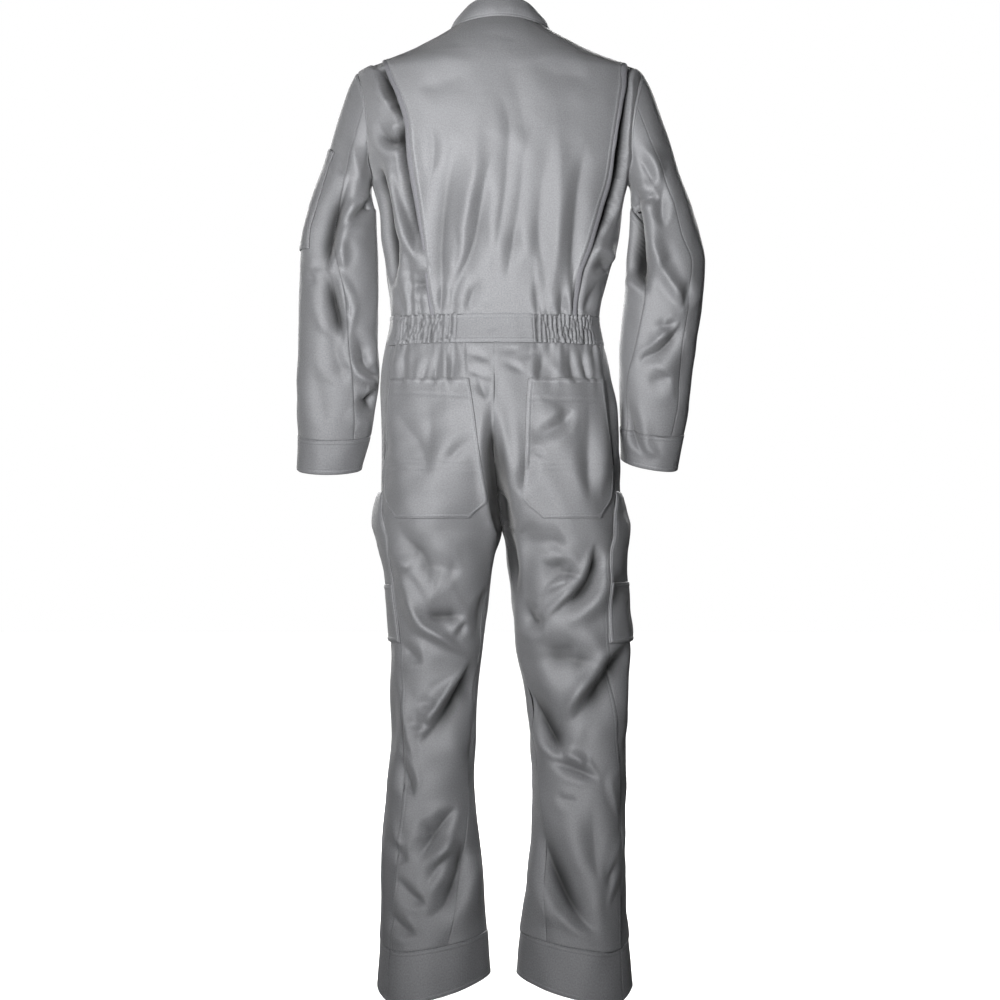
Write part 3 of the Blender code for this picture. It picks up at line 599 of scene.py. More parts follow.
def respaced(grid, step, first, last):
    """The grid with new columns: at a seam's stations beside an edge that has one, and a step apart between."""
    reach = reaches(grid)
    near = SEAM_STATIONS if first is not None else np.zeros(1)
    far = SEAM_STATIONS if last is not None else np.zeros(1)
    count = max(int(round((reach[:, -1].max() - near[-1] - far[-1]) / step)), 3)
    rows = []
    for row, along in zip(grid, reach):
        whole = along[-1]
        shrink = min(1, 0.8 * whole / max(near[-1] + far[-1], 1e-6))
        inner = np.linspace(near[-1] * shrink, whole - far[-1] * shrink, count + 1)
        at = np.concatenate([near[:-1] * shrink, inner, whole - far[-2::-1] * shrink if len(far) > 1 else []])
        rows.append(np.stack([np.interp(at, along, row[:, k]) for k in range(3)], axis=-1))
    return np.array(rows)


def seam_heights(grid, first, last, low, high):
    """The height that the seams along a grid's four edges give each of its points."""
    total = np.zeros(grid.shape[:2])
    for profile, swap, flip in ((first, False, False), (last, False, True), (low, True, False), (high, True, True)):
        if profile is None:
            continue
        turned = np.swapaxes(grid, 0, 1) if swap else grid
        height = np.interp(reaches(turned[:, ::-1] if flip else turned), SEAM_STATIONS, profile)
        height = height[:, ::-1] if flip else height
        height = height.T if swap else height
        total = np.where(np.abs(height) > np.abs(total), height, total)
    return total


# ---------------------------------------------------------------- fine shells

FINE_CRUMPLE = 0.06
PAINTED_SHADE_FROM, PAINTED_SHADE_RANGE = 3, 20  # shade is painted into a fold's colour from this depth on, and it is painted wholly dark this much deeper


class Shell:
    """A fine grid on the outside of a panel's wall, before and after it is pushed into its folds."""

    def __init__(self, grid, axis, step, first=None, last=None, low=None, high=None):
        axis = np.broadcast_to(axis, (len(grid), 1, 3))
        grid = respaced(grid, step, first, last)
        self.base = np.swapaxes(respaced(np.swapaxes(grid, 0, 1), step, low, high), 0, 1)
        before, after = (reaches(lines[:, 0][None])[0] for lines in (grid, self.base))
        before, after = before / max(before[-1], 1e-6), after / max(after[-1], 1e-6)
        self.axis = np.stack([np.interp(after, before, axis[:, 0, k]) for k in range(3)], axis=-1)[:, None]
        self.seam = seam_heights(self.base, first, last, low, high)
        self.normal = normals(self.base, self.axis)
        self.height = self.seam.copy()
        self.shift = np.zeros(self.base.shape)
        self.hold = np.ones(self.base.shape)  # the share of its folds that a point keeps, in each direction
        self.shade = 0  # shade painted into the colour, as in a mouth between two pieces: 1 paints it wholly dark

    def fold(self, back=(), front=(), gathers=(), front_gathers=(), roughness=0.5, seed=1, wavelength=45):
        """Pushes the cloth into its folds, mostly straight back or forward, so that seams stay shut."""
        push = 0
        for face, folds, drawn in ((1, back, gathers), (-1, front, front_gathers)):
            right, up = elevation(self.base, face)
            facing = ease(face * self.normal[..., 1] / STRAIGHT_BACK)
            push = push + (stroked(right, up, folds) + ripples(right, up, drawn)) * facing
        self.shift += unit(self.normal * FOLD_PUSH) * push[..., None]
        self.height += roughness * uneven(self.base, wavelength, 1.8, seed)
        self.height += FINE_CRUMPLE * uneven(self.base, 16, 1, seed + 500)

    def points(self, lift=0):
        return self.base + (self.normal * (self.height + lift)[..., None] + self.shift) * self.hold

    def painted_shade(self):
        """The shade painted into the colour at each point: from how deep a fold sinks, or from the shade set for a
        mouth.
        """
        sunk = (self.shift * self.normal).sum(-1) + self.height - self.seam
        return np.maximum(ease((-sunk - PAINTED_SHADE_FROM) / PAINTED_SHADE_RANGE), self.shade)


def placed(name, data, place=(0, 0, 0)):
    """A new object of the scene, at a place in millimetres."""
    made = bpy.data.objects.new(name, data)
    made.location = Vector(place) * MM
    bpy.context.scene.collection.objects.link(made)
    return made


def smooth_mesh(name, points, faces, *materials):
    mesh = bpy.data.meshes.new(name)
    mesh.from_pydata((points * MM).tolist(), [], faces.tolist())
    mesh.shade_smooth()
    for material in materials:
        mesh.materials.append(MATERIALS[material])
    return mesh


def shell_piece(name, shell, thickness, node, cut, finish=FINISH):
    """A cloth piece: the shell as a mesh whose faces point out, with cloth-wise UVs in metres and a wall."""
    rows, columns = shell.base.shape[:2]
    index = np.arange(rows * columns).reshape(rows, columns)
    corners = [index[:-1, :-1], index[1:, :-1], index[1:, 1:], index[:-1, 1:]]
    normal = np.cross(np.gradient(shell.base, axis=0), np.gradient(shell.base, axis=1))
    if (normal * (shell.base - shell.axis)).sum(-1).mean() < 0:
        corners.reverse()
    faces = np.stack([c.ravel() for c in corners], axis=-1)
    slot, *both_sides = finish
    mesh = smooth_mesh(name, shell.points().reshape(-1, 3), faces, *both_sides)
    across = reaches(shell.base)
    across = across - across[:, -1:] / 2
    down = np.broadcast_to(reaches(shell.base[:, columns // 2][None]).T, across.shape)
    flat = np.stack([across, down], axis=-1).reshape(-1, 2) * MM
    mesh.uv_layers.new(name="cloth").data.foreach_set("uv", flat[faces.ravel()].ravel().astype(np.float32))
    # the seams' heights and the painted shade, from which the cloth's colour is painted darker
    for attribute, values in (("seam", np.clip(shell.seam, -1, 1)), ("painted_shade", shell.painted_shade())):
        layer = mesh.attributes.new(attribute, "FLOAT", "POINT")
        layer.data.foreach_set("value", values.ravel().astype(np.float32))
    made = placed(name, mesh)
    wall = made.modifiers.new("wall", "SOLIDIFY")
    wall.thickness = thickness * MM
    wall.offset = 0
    wall.material_offset = 1
    wall.use_rim = True
    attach(made, "root")
    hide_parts(node)
    width, length, area = cut


# ---------------------------------------------------------------- stitches

THREAD = 0.32  # half width of a stitch
STITCH, STITCH_GAP = 2.7, 1.2
STITCH_SECTION = ((-1, -0.4), (0, 0.9), (1, -0.4))  # across and above, in half widths
STITCH_ARCH = (-0.3, 0.2, -0.3)  # how high a stitch lies over the cloth at its start, middle and end
STITCHES = []  # every row: its points and their normals


def stitched(points, normal, thickness=CLOTH):
    """One row of stitches along a line of points on a shell."""
    STITCHES.append((points + normal * (thickness / 2), normal))


def stitch_rows(shell, rows=(FIRST_ROW, SECOND_ROW), edges=("first",), thickness=CLOTH, skip=0):
    """Rows of stitches beside some of a shell's edges, less a few points at both ends of each row."""
    points = shell.points()
    for edge in edges:
        for row in rows:
            row = row if edge in ("first", "low") else -1 - row
            line = (slice(None), row) if edge in ("first", "last") else row
            end = len(points[line]) - skip
            stitched(points[line][skip:end], shell.normal[line][skip:end], thickness)


def sew(name):
    """Every row of stitches as one mesh: short rounded threads that dip into the cloth at both ends."""
    around, rings = len(STITCH_SECTION), len(STITCH_ARCH)
    quads = [
        [around * k + j, around * k + (j + 1) % around, around * (k + 1) + (j + 1) % around, around * (k + 1) + j]
        for k in range(rings - 1)
        for j in range(around)
    ]
    vertices, faces, count = [], [], 0
    for points, normal in STITCHES:
        along = reaches(points[None])[0]
        starts = np.arange(STITCH_GAP, along[-1] - STITCH, STITCH + STITCH_GAP)
        if len(starts) == 0:
            continue
        at = starts[:, None] + np.linspace(0, STITCH, rings)
        place, up = (np.stack([np.interp(at, along, v[:, k]) for k in range(3)], axis=-1) for v in (points, normal))
        up = unit(up)
        side = unit(np.cross(unit(place[:, -1] - place[:, 0])[:, None], up))
        middle = place + up * np.array(STITCH_ARCH)[None, :, None]
        ring = [middle + (side * across + up * above) * THREAD for across, above in STITCH_SECTION]
        vertices.append(np.stack(ring, axis=2).reshape(-1, 3))
        first = count + around * rings * np.arange(len(starts))
        faces.append((first[:, None, None] + np.array(quads)).reshape(-1, 4))
        count += around * rings * len(starts)
    made = placed(name, smooth_mesh(name, np.concatenate(vertices), np.concatenate(faces), "thread"))
    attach(made, "root")


# ---------------------------------------------------------------- folds, placed one by one
# Each is (height, width on the left, width on the right, points). Points are millimetres right of the middle
# and above the shoulders, on the elevation that a viewer behind the suit sees.

BACK_FOLDS = [
    # the long soft troughs of the back
    (-5.5, 15, 13, [(-64, -165), (-78, -215), (-90, -290), (-94, -380), (-88, -440)]),
    (-5, 14, 10, [(-2, -165), (-18, -220), (-30, -275), (-42, -340), (-66, -400), (-80, -445)]),
    (-3.5, 12, 10, [(-4, -85), (14, -150), (10, -235), (2, -300), (-10, -370)]),
    (-4.5, 13, 12, [(66, -135), (42, -190), (32, -265), (20, -345), (8, -410)]),
    (-4, 12, 9, [(142, -170), (126, -240), (118, -320), (112, -400), (108, -445)]),
    (-3, 15, 15, [(92, -160), (72, -220), (62, -300), (66, -380)]),
    (-2.2, 20, 24, [(-2, -48), (20, -80), (34, -130), (42, -190)]),
    (-2.5, 8, 8, [(-114, -140), (-106, -190), (-112, -240)]),
    (-2.5, 6, 8, [(-74, -300), (-68, -345), (-76, -390)]),
    (3, 16, 16, [(-36, -130), (-40, -230), (-62, -330)]),
    (3, 15, 15, [(88, -110), (96, -220), (92, -330), (86, -420)]),
    (-0.7, 6, 6, [(-34, -6), (-2, -9), (30, -16)]),
    (-1.4, 18, 18, [(40, -56), (100, -72), (150, -78)]),
    (-1.4, 18, 18, [(-40, -60), (-90, -84), (-136, -92)]),
    # above the waist
    (-8, 5, 5, [(-92, -398), (-93, -420), (-95, -452)]),
    (-5, 5, 6, [(98, -415), (100, -435), (98, -460)]),
    (-3, 9, 9, [(-28, -395), (-44, -425), (-56, -455)]),
    (-3.5, 9, 8, [(140, -405), (128, -430), (120, -458)]),
    (-3, 8, 7, [(60, -395), (62, -425), (66, -458)]),
]
SIDE_FOLDS = {
    "L": [
        (-11, 10, 9, [(-196, -140), (-186, -168), (-166, -176), (-148, -146)]),
        (7, 12, 9, [(-192, -185), (-172, -250), (-146, -330), (-132, -385)]),
        (-10, 11, 9, [(-176, -205), (-158, -270), (-138, -330), (-134, -372)]),
        (-9, 9, 9, [(-188, -60), (-176, -90), (-164, -120)]),
        (-24, 12, 12, [(-199, -190), (-189, -265), (-178, -345), (-173, -420)]),
        (-12, 9, 9, [(-194, -215), (-186, -290), (-179, -360)]),
        (6, 13, 13, [(-132, -330), (-124, -372), (-118, -396)]),
        (-7, 9, 9, [(-150, -404), (-130, -408), (-106, -404)]),
        (-4, 7, 7, [(-166, -410), (-158, -435), (-150, -460)]),
        (-3, 6, 6, [(-184, -400), (-180, -430), (-180, -460)]),
        (-3, 6, 6, [(-140, -420), (-132, -440), (-128, -460)]),
    ],
    "R": [
        (5, 10, 10, [(134, -366), (160, -350), (180, -362), (186, -390)]),
        (-6, 8, 8, [(146, -392), (164, -378), (180, -388)]),
        (-5, 7, 7, [(158, -398), (146, -424), (132, -456)]),
        (-3, 6, 6, [(182, -405), (174, -430), (168, -460)]),
        (4, 9, 9, [(196, -190), (190, -260), (184, -320)]),
    ],
}
SLEEVE_FOLDS = {
    "L": [
        (-8, 6, 13, [(-258, -322), (-242, -304), (-222, -288), (-196, -262)]),
        (4, 8, 8, [(-262, -312), (-236, -288), (-206, -262)]),
        (-11, 8, 20, [(-236, -215), (-256, -285), (-270, -340), (-282, -398)]),
        (6, 7, 7, [(-250, -328), (-252, -356), (-250, -386)]),
        (-11, 10, 13, [(-290, -366), (-273, -405), (-262, -445), (-250, -505)]),
        (4, 8, 8, [(-262, -385), (-252, -420), (-246, -458)]),
        (-6, 5, 5, [(-254, -398), (-244, -430), (-239, -468)]),
        (-3, 6, 5, [(-308, -382), (-296, -380), (-284, -382)]),
        (-3, 6, 6, [(-310, -384), (-302, -396), (-294, -408)]),
        (-6, 10, 12, [(-234, -476), (-222, -508), (-212, -545)]),
        (6, 8, 8, [(-240, -526), (-228, -550), (-208, -562), (-186, -562)]),
        (-5, 7, 7, [(-238, -510), (-226, -528), (-206, -545), (-190, -548)]),
        (-11, 8, 15, [(-230, -584), (-212, -594), (-190, -580)]),
        (-4, 12, 12, [(-274, -470), (-262, -520), (-246, -572)]),
        (-2.5, 16, 16, [(-306, -520), (-290, -580), (-280, -640)]),
        (-3, 9, 9, [(-262, -170), (-256, -205), (-250, -240)]),
        (3, 10, 10, [(-238, -165), (-232, -205), (-222, -245)]),
    ],
    "R": [
        (-9, 9, 6, [(208, -270), (230, -270), (256, -266)]),
        (-26, 17, 14, [(198, -240), (204, -305), (216, -370), (238, -425)]),
        (-11, 14, 12, [(203, -215), (206, -270), (213, -330), (224, -390)]),
        (6, 9, 9, [(234, -300), (246, -345), (262, -385), (290, -430), (292, -462)]),
        (-8, 6, 13, [(226, -548), (230, -526), (254, -514), (276, -492), (292, -466)]),
        (4, 8, 8, [(232, -512), (252, -494), (274, -474)]),
        (-4, 8, 8, [(258, -456), (264, -474), (286, -466)]),
        (-5, 8, 8, [(304, -392), (300, -420), (290, -450)]),
        (-9, 9, 6, [(204, -578), (207, -618), (217, -656), (234, -684)]),
        (3, 8, 8, [(222, -640), (236, -668), (256, -684)]),
        (-5, 8, 8, [(263, -236), (258, -290), (262, -320)]),
        (5, 9, 7, [(222, -178), (242, -205), (258, -245)]),
        (-4, 7, 7, [(218, -198), (236, -222), (250, -250)]),
        (-3, 6, 6, [(216, -222), (232, -238), (246, -258)]),
        (-3.5, 12, 12, [(232, -560), (256, -560), (276, -552)]),
        (-3, 14, 14, [(300, -470), (292, -540), (284, -600)]),
    ],
}
SEAT_FOLDS = [
    # the deep fold between the legs and the seat
    (-22, 10, 9, [(-14, -585), (-13, -660), (-7, -710), (-3, -768), (6, -830)]),
    (-14, 13, 12, [(-8, -680), (4, -750), (12, -830)]),
    (-12, 9, 11, [(2, -730), (9, -800), (18, -860), (29, -908)]),
    (5, 14, 14, [(24, -600), (28, -670), (34, -730)]),
    (-3.5, 9, 9, [(52, -668), (44, -700), (36, -750)]),
    # pinches below the band
    (-4, 7, 4, [(-60, -556), (-47, -546), (-10, -562)]),
    (-5, 7, 7, [(-40, -550), (-30, -568), (-20, -592)]),
    (-3.5, 5, 5, [(-2, -534), (18, -536), (40, -548)]),
    (-2.5, 4, 4, [(-8, -514), (12, -513), (34, -508)]),
    (-3, 4, 4, [(26, -528), (46, -520), (66, -512)]),
    (-3, 6, 5, [(-60, -512), (-36, -520), (-12, -530)]),
    # gathers that reach the pockets
    (-4, 6, 6, [(-158, -510), (-154, -535), (-150, -570)]),
    (-5, 5, 5, [(-112, -512), (-118, -538), (-128, -570)]),
    (-7, 6, 6, [(-102, -506), (-103, -535), (-105, -572)]),
    (-5, 6, 6, [(-76, -508), (-77, -535), (-79, -572)]),
    (-3, 6, 6, [(-134, -508), (-138, -535), (-140, -570)]),
    (-6, 7, 7, [(70, -508), (67, -535), (60, -566)]),
    (-3, 5, 5, [(90, -506), (91, -522), (92, -545)]),
    (-7, 9, 9, [(112, -502), (114, -530), (120, -570)]),
    (-9, 5, 5, [(126, -505), (134, -530), (143, -568)]),
    (-3, 5, 5, [(154, -505), (160, -530), (166, -568)]),
    # across the pockets
    (-5.5, 15, 17, [(-166, -600), (-148, -636), (-124, -672), (-112, -716)]),
    (-3, 14, 14, [(-118, -590), (-110, -640), (-116, -690)]),
    (-5.5, 16, 9, [(48, -664), (74, -644), (98, -630), (120, -606)]),
    (3, 12, 12, [(50, -640), (76, -624), (104, -604)]),
    (-3, 5, 5, [(46, -682), (58, -676), (74, -680)]),
    (-3.5, 10, 10, [(142, -580), (140, -650), (142, -760)]),
    (3, 12, 12, [(160, -600), (162, -680), (160, -760)]),
    (-2, 7, 7, [(-40, -650), (-60, -665), (-84, -690)]),
]
LEG_FOLDS = {
    "L": [
        (-6, 17, 14, [(-172, -784), (-148, -818), (-122, -846), (-112, -896)]),
        (3, 12, 12, [(-166, -836), (-156, -852), (-140, -862)]),
        (-8, 20, 11, [(-142, -924), (-118, -938), (-90, -940), (-50, -938)]),
        (8, 8, 9, [(-170, -843), (-150, -896), (-130, -944), (-94, -972), (-46, -1006)]),
        (-6, 5, 6, [(-74, -972), (-64, -962), (-52, -946)]),
        (-4, 9, 12, [(-50, -986), (-34, -962), (-30, -930), (-24, -890)]),
        (-3, 14, 14, [(-120, -870), (-96, -862), (-60, -868)]),
        (-10, 7, 26, [(-134, -1156), (-96, -1102), (-60, -1046), (-44, -1006)]),
        (4, 10, 10, [(-146, -1140), (-106, -1088), (-72, -1034)]),
        (-3.5, 9, 5, [(-142, -1076), (-120, -1080), (-96, -1080)]),
        (-4, 12, 5, [(-156, -1108), (-132, -1112), (-106, -1112)]),
        (-5, 9, 9, [(-162, -976), (-140, -1000), (-122, -1016)]),
        (4, 7, 7, [(-174, -1015), (-158, -1062), (-150, -1120), (-138, -1170)]),
        (-6, 7, 14, [(-168, -1150), (-148, -1196), (-138, -1230)]),
        (-6, 12, 9, [(-139, -1336), (-118, -1309), (-96, -1275), (-68, -1240)]),
        (4, 12, 12, [(-122, -1350), (-94, -1318), (-70, -1284)]),
        (-5, 9, 9, [(-124, -1382), (-99, -1340), (-72, -1312)]),
        (-8, 13, 17, [(-138, -1424), (-104, -1414), (-84, -1394), (-68, -1350), (-56, -1290)]),
        (5, 16, 16, [(-88, -1450), (-58, -1392), (-32, -1310)]),
        (-6, 7, 10, [(-168, -1350), (-146, -1380), (-116, -1404)]),
        (-6, 7, 9, [(-180, -1405), (-156, -1436), (-132, -1450)]),
        (3, 6, 6, [(-176, -1228), (-168, -1286), (-152, -1316)]),
        (-4, 8, 8, [(-172, -1296), (-158, -1322), (-144, -1330)]),
        (-3, 10, 10, [(-138, -1262), (-118, -1276), (-108, -1290)]),
        (-3, 14, 14, [(-34, -1060), (-44, -1120), (-50, -1180)]),
    ],
    "R": [
        (-5, 15, 15, [(28, -826), (66, -820), (112, -824)]),
        (-7, 15, 5, [(62, -904), (77, -884), (102, -872), (134, -874)]),
        (6, 7, 6, [(54, -956), (78, -932), (132, -880)]),
        (-11, 7, 14, [(76, -938), (128, -902), (150, -866), (154, -818)]),
        (6, 13, 13, [(94, -958), (134, -930), (162, -893), (168, -838)]),
        (-7, 11, 11, [(38, -908), (52, -946), (74, -938)]),
        (-6, 24, 20, [(20, -1008), (77, -1008), (123, -1010), (176, -1018)]),
        (-11, 11, 24, [(102, -1132), (140, -1076), (178, -1024), (212, -974)]),
        (4, 10, 10, [(90, -1112), (122, -1066), (158, -1024)]),
        (-11, 24, 11, [(26, -1030), (54, -1080), (86, -1134), (108, -1172)]),
        (-7, 8, 8, [(74, -1166), (118, -1182), (160, -1200)]),
        (4, 8, 8, [(84, -1152), (118, -1164), (140, -1184)]),
        (-9, 24, 13, [(58, -1228), (66, -1286), (92, -1356), (126, -1418), (164, -1452)]),
        (4, 18, 18, [(44, -1330), (62, -1392), (92, -1440)]),
        (3, 5, 5, [(196, -1284), (184, -1320), (168, -1360)]),
        (3, 5, 5, [(196, -1322), (184, -1354), (170, -1406)]),
        (-3, 6, 6, [(190, -1304), (180, -1336), (170, -1380)]),
        (-3, 7, 7, [(96, -1212), (100, -1230), (128, -1236)]),
        (3, 5, 5, [(198, -1170), (178, -1198), (182, -1230), (190, -1268)]),
        (-5, 12, 12, [(60, -846), (84, -858), (110, -852)]),
        (-4, 18, 18, [(150, -1230), (150, -1300), (156, -1360)]),
        (-3, 16, 16, [(56, -980), (92, -990), (128, -984)]),
    ],
}
# The front is hidden, so its folds are only like those that show behind. They are on the front's elevation.
FRONT_FOLDS = [
    (-4, 13, 13, [(-120, -140), (-104, -220), (-96, -320), (-104, -420)]),
    (-4, 13, 13, [(116, -150), (96, -230), (92, -330), (84, -430)]),
    (-3.5, 12, 12, [(-60, -170), (-52, -260), (-62, -360)]),
    (-3.5, 12, 12, [(54, -150), (62, -250), (52, -350), (60, -430)]),
    (-4, 9, 9, [(-196, -200), (-160, -220), (-128, -250)]),
    (-4, 9, 9, [(200, -195), (166, -214), (126, -236)]),
    (-3, 12, 12, [(-150, -300), (-140, -380), (-148, -440)]),
    (-3, 12, 12, [(150, -290), (146, -370), (138, -450)]),
    (-3, 9, 6, [(-110, -438), (-60, -446), (-30, -442)]),
    (-3, 6, 9, [(110, -436), (66, -448), (30, -440)]),
]
FRONT_LEG_FOLDS = [
    # a straight trouser front: pulls at the fork, knee folds and the break over the foot, on each leg
    (-6, 10, 10, [(-14, -780), (-50, -760), (-96, -752)]),
    (-6, 10, 10, [(16, -782), (54, -764), (98, -748)]),
    (-5, 9, 9, [(-16, -806), (-52, -800), (-92, -812)]),
    (-5, 9, 9, [(16, -808), (56, -806), (90, -818)]),
    (-5, 12, 12, [(-150, -620), (-116, -680), (-70, -740)]),
    (-5, 12, 12, [(146, -610), (120, -676), (68, -738)]),
    (-6, 15, 8, [(-160, -1010), (-120, -1028), (-66, -1016)]),
    (-6, 15, 8, [(70, -1020), (118, -1032), (164, -1008)]),
    (-5, 12, 8, [(-156, -1070), (-116, -1096), (-70, -1080)]),
    (-5, 12, 8, [(64, -1086), (110, -1100), (158, -1072)]),
    (-4, 14, 14, [(-130, -860), (-122, -920), (-128, -980)]),
    (-4, 14, 14, [(128, -850), (120, -915), (126, -985)]),
    (-6, 12, 12, [(-170, -1300), (-120, -1350), (-66, -1372)]),
    (-6, 12, 12, [(62, -1380), (118, -1352), (172, -1296)]),
    (-6, 11, 11, [(-176, -1390), (-130, -1428), (-80, -1436)]),
    (-6, 11, 11, [(74, -1440), (130, -1426), (178, -1384)]),
    (-4, 14, 14, [(-130, -1130), (-122, -1200), (-130, -1280)]),
    (-4, 14, 14, [(126, -1140), (118, -1210), (128, -1290)]),
]
FRONT_SLEEVE_FOLDS = [
    (-7, 12, 6, [(-300, -420), (-270, -400), (-232, -392)]),
    (-6, 12, 6, [(-304, -462), (-268, -444), (-226, -440)]),
    (-6, 9, 9, [(-216, -262), (-244, -290), (-262, -330)]),
    (-5, 9, 9, [(-300, -560), (-264, -590), (-236, -596)]),
    (-7, 6, 12, [(228, -394), (266, -402), (302, -424)]),
    (-6, 6, 12, [(224, -436), (264, -446), (300, -466)]),
    (-6, 9, 9, [(214, -258), (240, -292), (258, -334)]),
    (-5, 9, 9, [(232, -590), (262, -584), (296, -556)]),
]

COLLAR_FOLDS = [(-1.5, 9, 9, [(-40, 22), (-20, 14), (8, 16)]), (-1.2, 8, 8, [(20, 20), (44, 12), (60, 14)])]
BAND_FOLDS = [
    (-1.2, 5, 5, [(-34, -488), (-18, -478), (0, -474)]),
    (-0.9, 4, 4, [(10, -476), (26, -470)]),
    (-1, 5, 4, [(30, -492), (44, -486), (52, -476)]),
]

# Each is (its line, 1 above it or -1 below, from, to, height, wavelength, how far it reaches, a seed).
ABOVE_BAND = [
    (-462, 1, -172, -52, 3.2, 11, 74, 11),
    (-462, 1, 52, 172, 3.2, 11, 78, 12),
]
BELOW_BAND = [
    (-503, -1, -172, -52, 3.0, 11, 58, 13),
    (-503, -1, 52, 172, 3.0, 11, 58, 14),
]
FRONT_ABOVE = [(-462, 1, -150, -40, 1.2, 16, 50, 15), (-462, 1, 40, 150, 1.2, 16, 50, 16)]
FRONT_BELOW = [(-503, -1, -150, -40, 1.2, 16, 50, 17), (-503, -1, 40, 150, 1.2, 16, 50, 18)]


# ---------------------------------------------------------------- the upper body

COARSE_SIDE = np.array([WAIST_TOP, -436, -400, -360, -320, -282, ARMPIT])
COARSE_PLEAT = np.array([*COARSE_SIDE, -222, -194, -162, -130, -102, -80, -64, -52])
STATIONS = np.concatenate([np.arange(0, 6, 0.125), np.arange(6, 14.001, 0.2)])  # down-to-up places in those lists
NECK_ROWS = np.array([-44, -36, -27, -18, -9, 0])
FINE, PLAIN = 4.0, 6.6  # spacing of a panel's points where its folds show, and where it is hidden


def fine_rows(coarse, stations=STATIONS):
    return np.interp(stations, np.arange(len(coarse)), coarse)


def side_line(side, half):
    """Stations of a torso panel's outer edge, from the waist up the side seam and round the armhole."""
    sign = 1 if half == "back" else -1
    line = [(SIDES[side] * 90, level) for level in fine_rows(COARSE_SIDE, STATIONS[STATIONS < 6.001])]
    turns = 180 - ARMHOLE_STEP * (STATIONS[STATIONS > 6.001] - 6)
    return line + [armhole(side, sign * turn) for turn in turns]


def pleat_line(side, shift=0):
    """Stations of a line beside the pleat's stitched edge. A shift is one number or one for each level."""
    levels = np.linspace(-120, -20, 400)
    rows = fine_rows(COARSE_PLEAT)
    spread = shift if np.ndim(shift) == 0 else 0
    top = levels[np.argmin(abs(TORSO("half_width", levels) - PLEAT(side, levels) - spread))]
    rows = WAIST_TOP + (rows - WAIST_TOP) * (top - WAIST_TOP) / (COARSE_PLEAT[-1] - WAIST_TOP)
    bearing = bearing_at(PLEAT(side, rows) + shift, rows)
    bearing[-1] = 90
    return list(zip(SIDES[side] * bearing, rows))


def line_axis(line):
    return torso_axis(np.array([level for _, level in line]))[:, None]


def back_centre():
    left, right = (pleat_line(s) + [(SIDES[s] * 90, level) for level in NECK_ROWS] for s in "LR")
    middle = [(0, (a[1] + b[1]) / 2) for a, b in zip(left, right)]
    halves = [grid_between(torso, middle, edge, even(40)) for edge in (left, right)]
    grid = np.concatenate([halves[1][:, :0:-1], halves[0]], axis=1)
    shell = Shell(trimmed(grid), line_axis(middle), FINE, first=LAP, last=LAP, low=TUCKED, high=TUCKED)
    shell.fold(BACK_FOLDS, gathers=ABOVE_BAND, roughness=0.35, seed=21, wavelength=64)
    stitch_rows(shell, edges=("first", "last"), rows=(FIRST_ROW,), skip=4)
    shell_piece("back_shell", shell, CLOTH, "back_centre", (0.42, 0.52, 0.19))


PLEAT_STRIP = Sections(  # how wide each pleat shows outside its stitched edge
    "level L R",
    [(-50, 7, 9), (-90, 8, 9), (-146, 9, 6), (-190, 8, 5), (-230, 9, 6), (-300, 7, 9), (WAIST_TOP, 5, 6)],
)
PLEAT_GAP = Sections(  # how deep the cloth drops away beside each pleat
    "level L R",
    [(-44, 0, 0), (-60, 3, 4), (-84, 18, 20), (-130, 20, 26), (-156, 8, 30), (-200, 22, 32), (-290, 22, 30),
     (-340, 9, 16), (-400, 3, 5), (WAIST_TOP, 2, 2)],
)


PLEAT_MOUTH = Sections(  # how wide the gap beside each pleat is, which is painted with shade
    "level L R",
    [(-44, 1, 1), (-84, 8, 6), (-130, 8, 12), (-150, 2, 15), (-200, 8, 17), (-260, 8, 16), (-310, 5, 12), (-350, 1, 5),
     (WAIST_TOP, 1, 1)],
)
CUT_PLEAT = {"L": (0.036, 0.49, 0.0105), "R": (0.038, 0.48, 0.0105)}
CUT_SIDE = {"L": (0.15, 0.50, 0.052), "R": (0.12, 0.49, 0.040)}


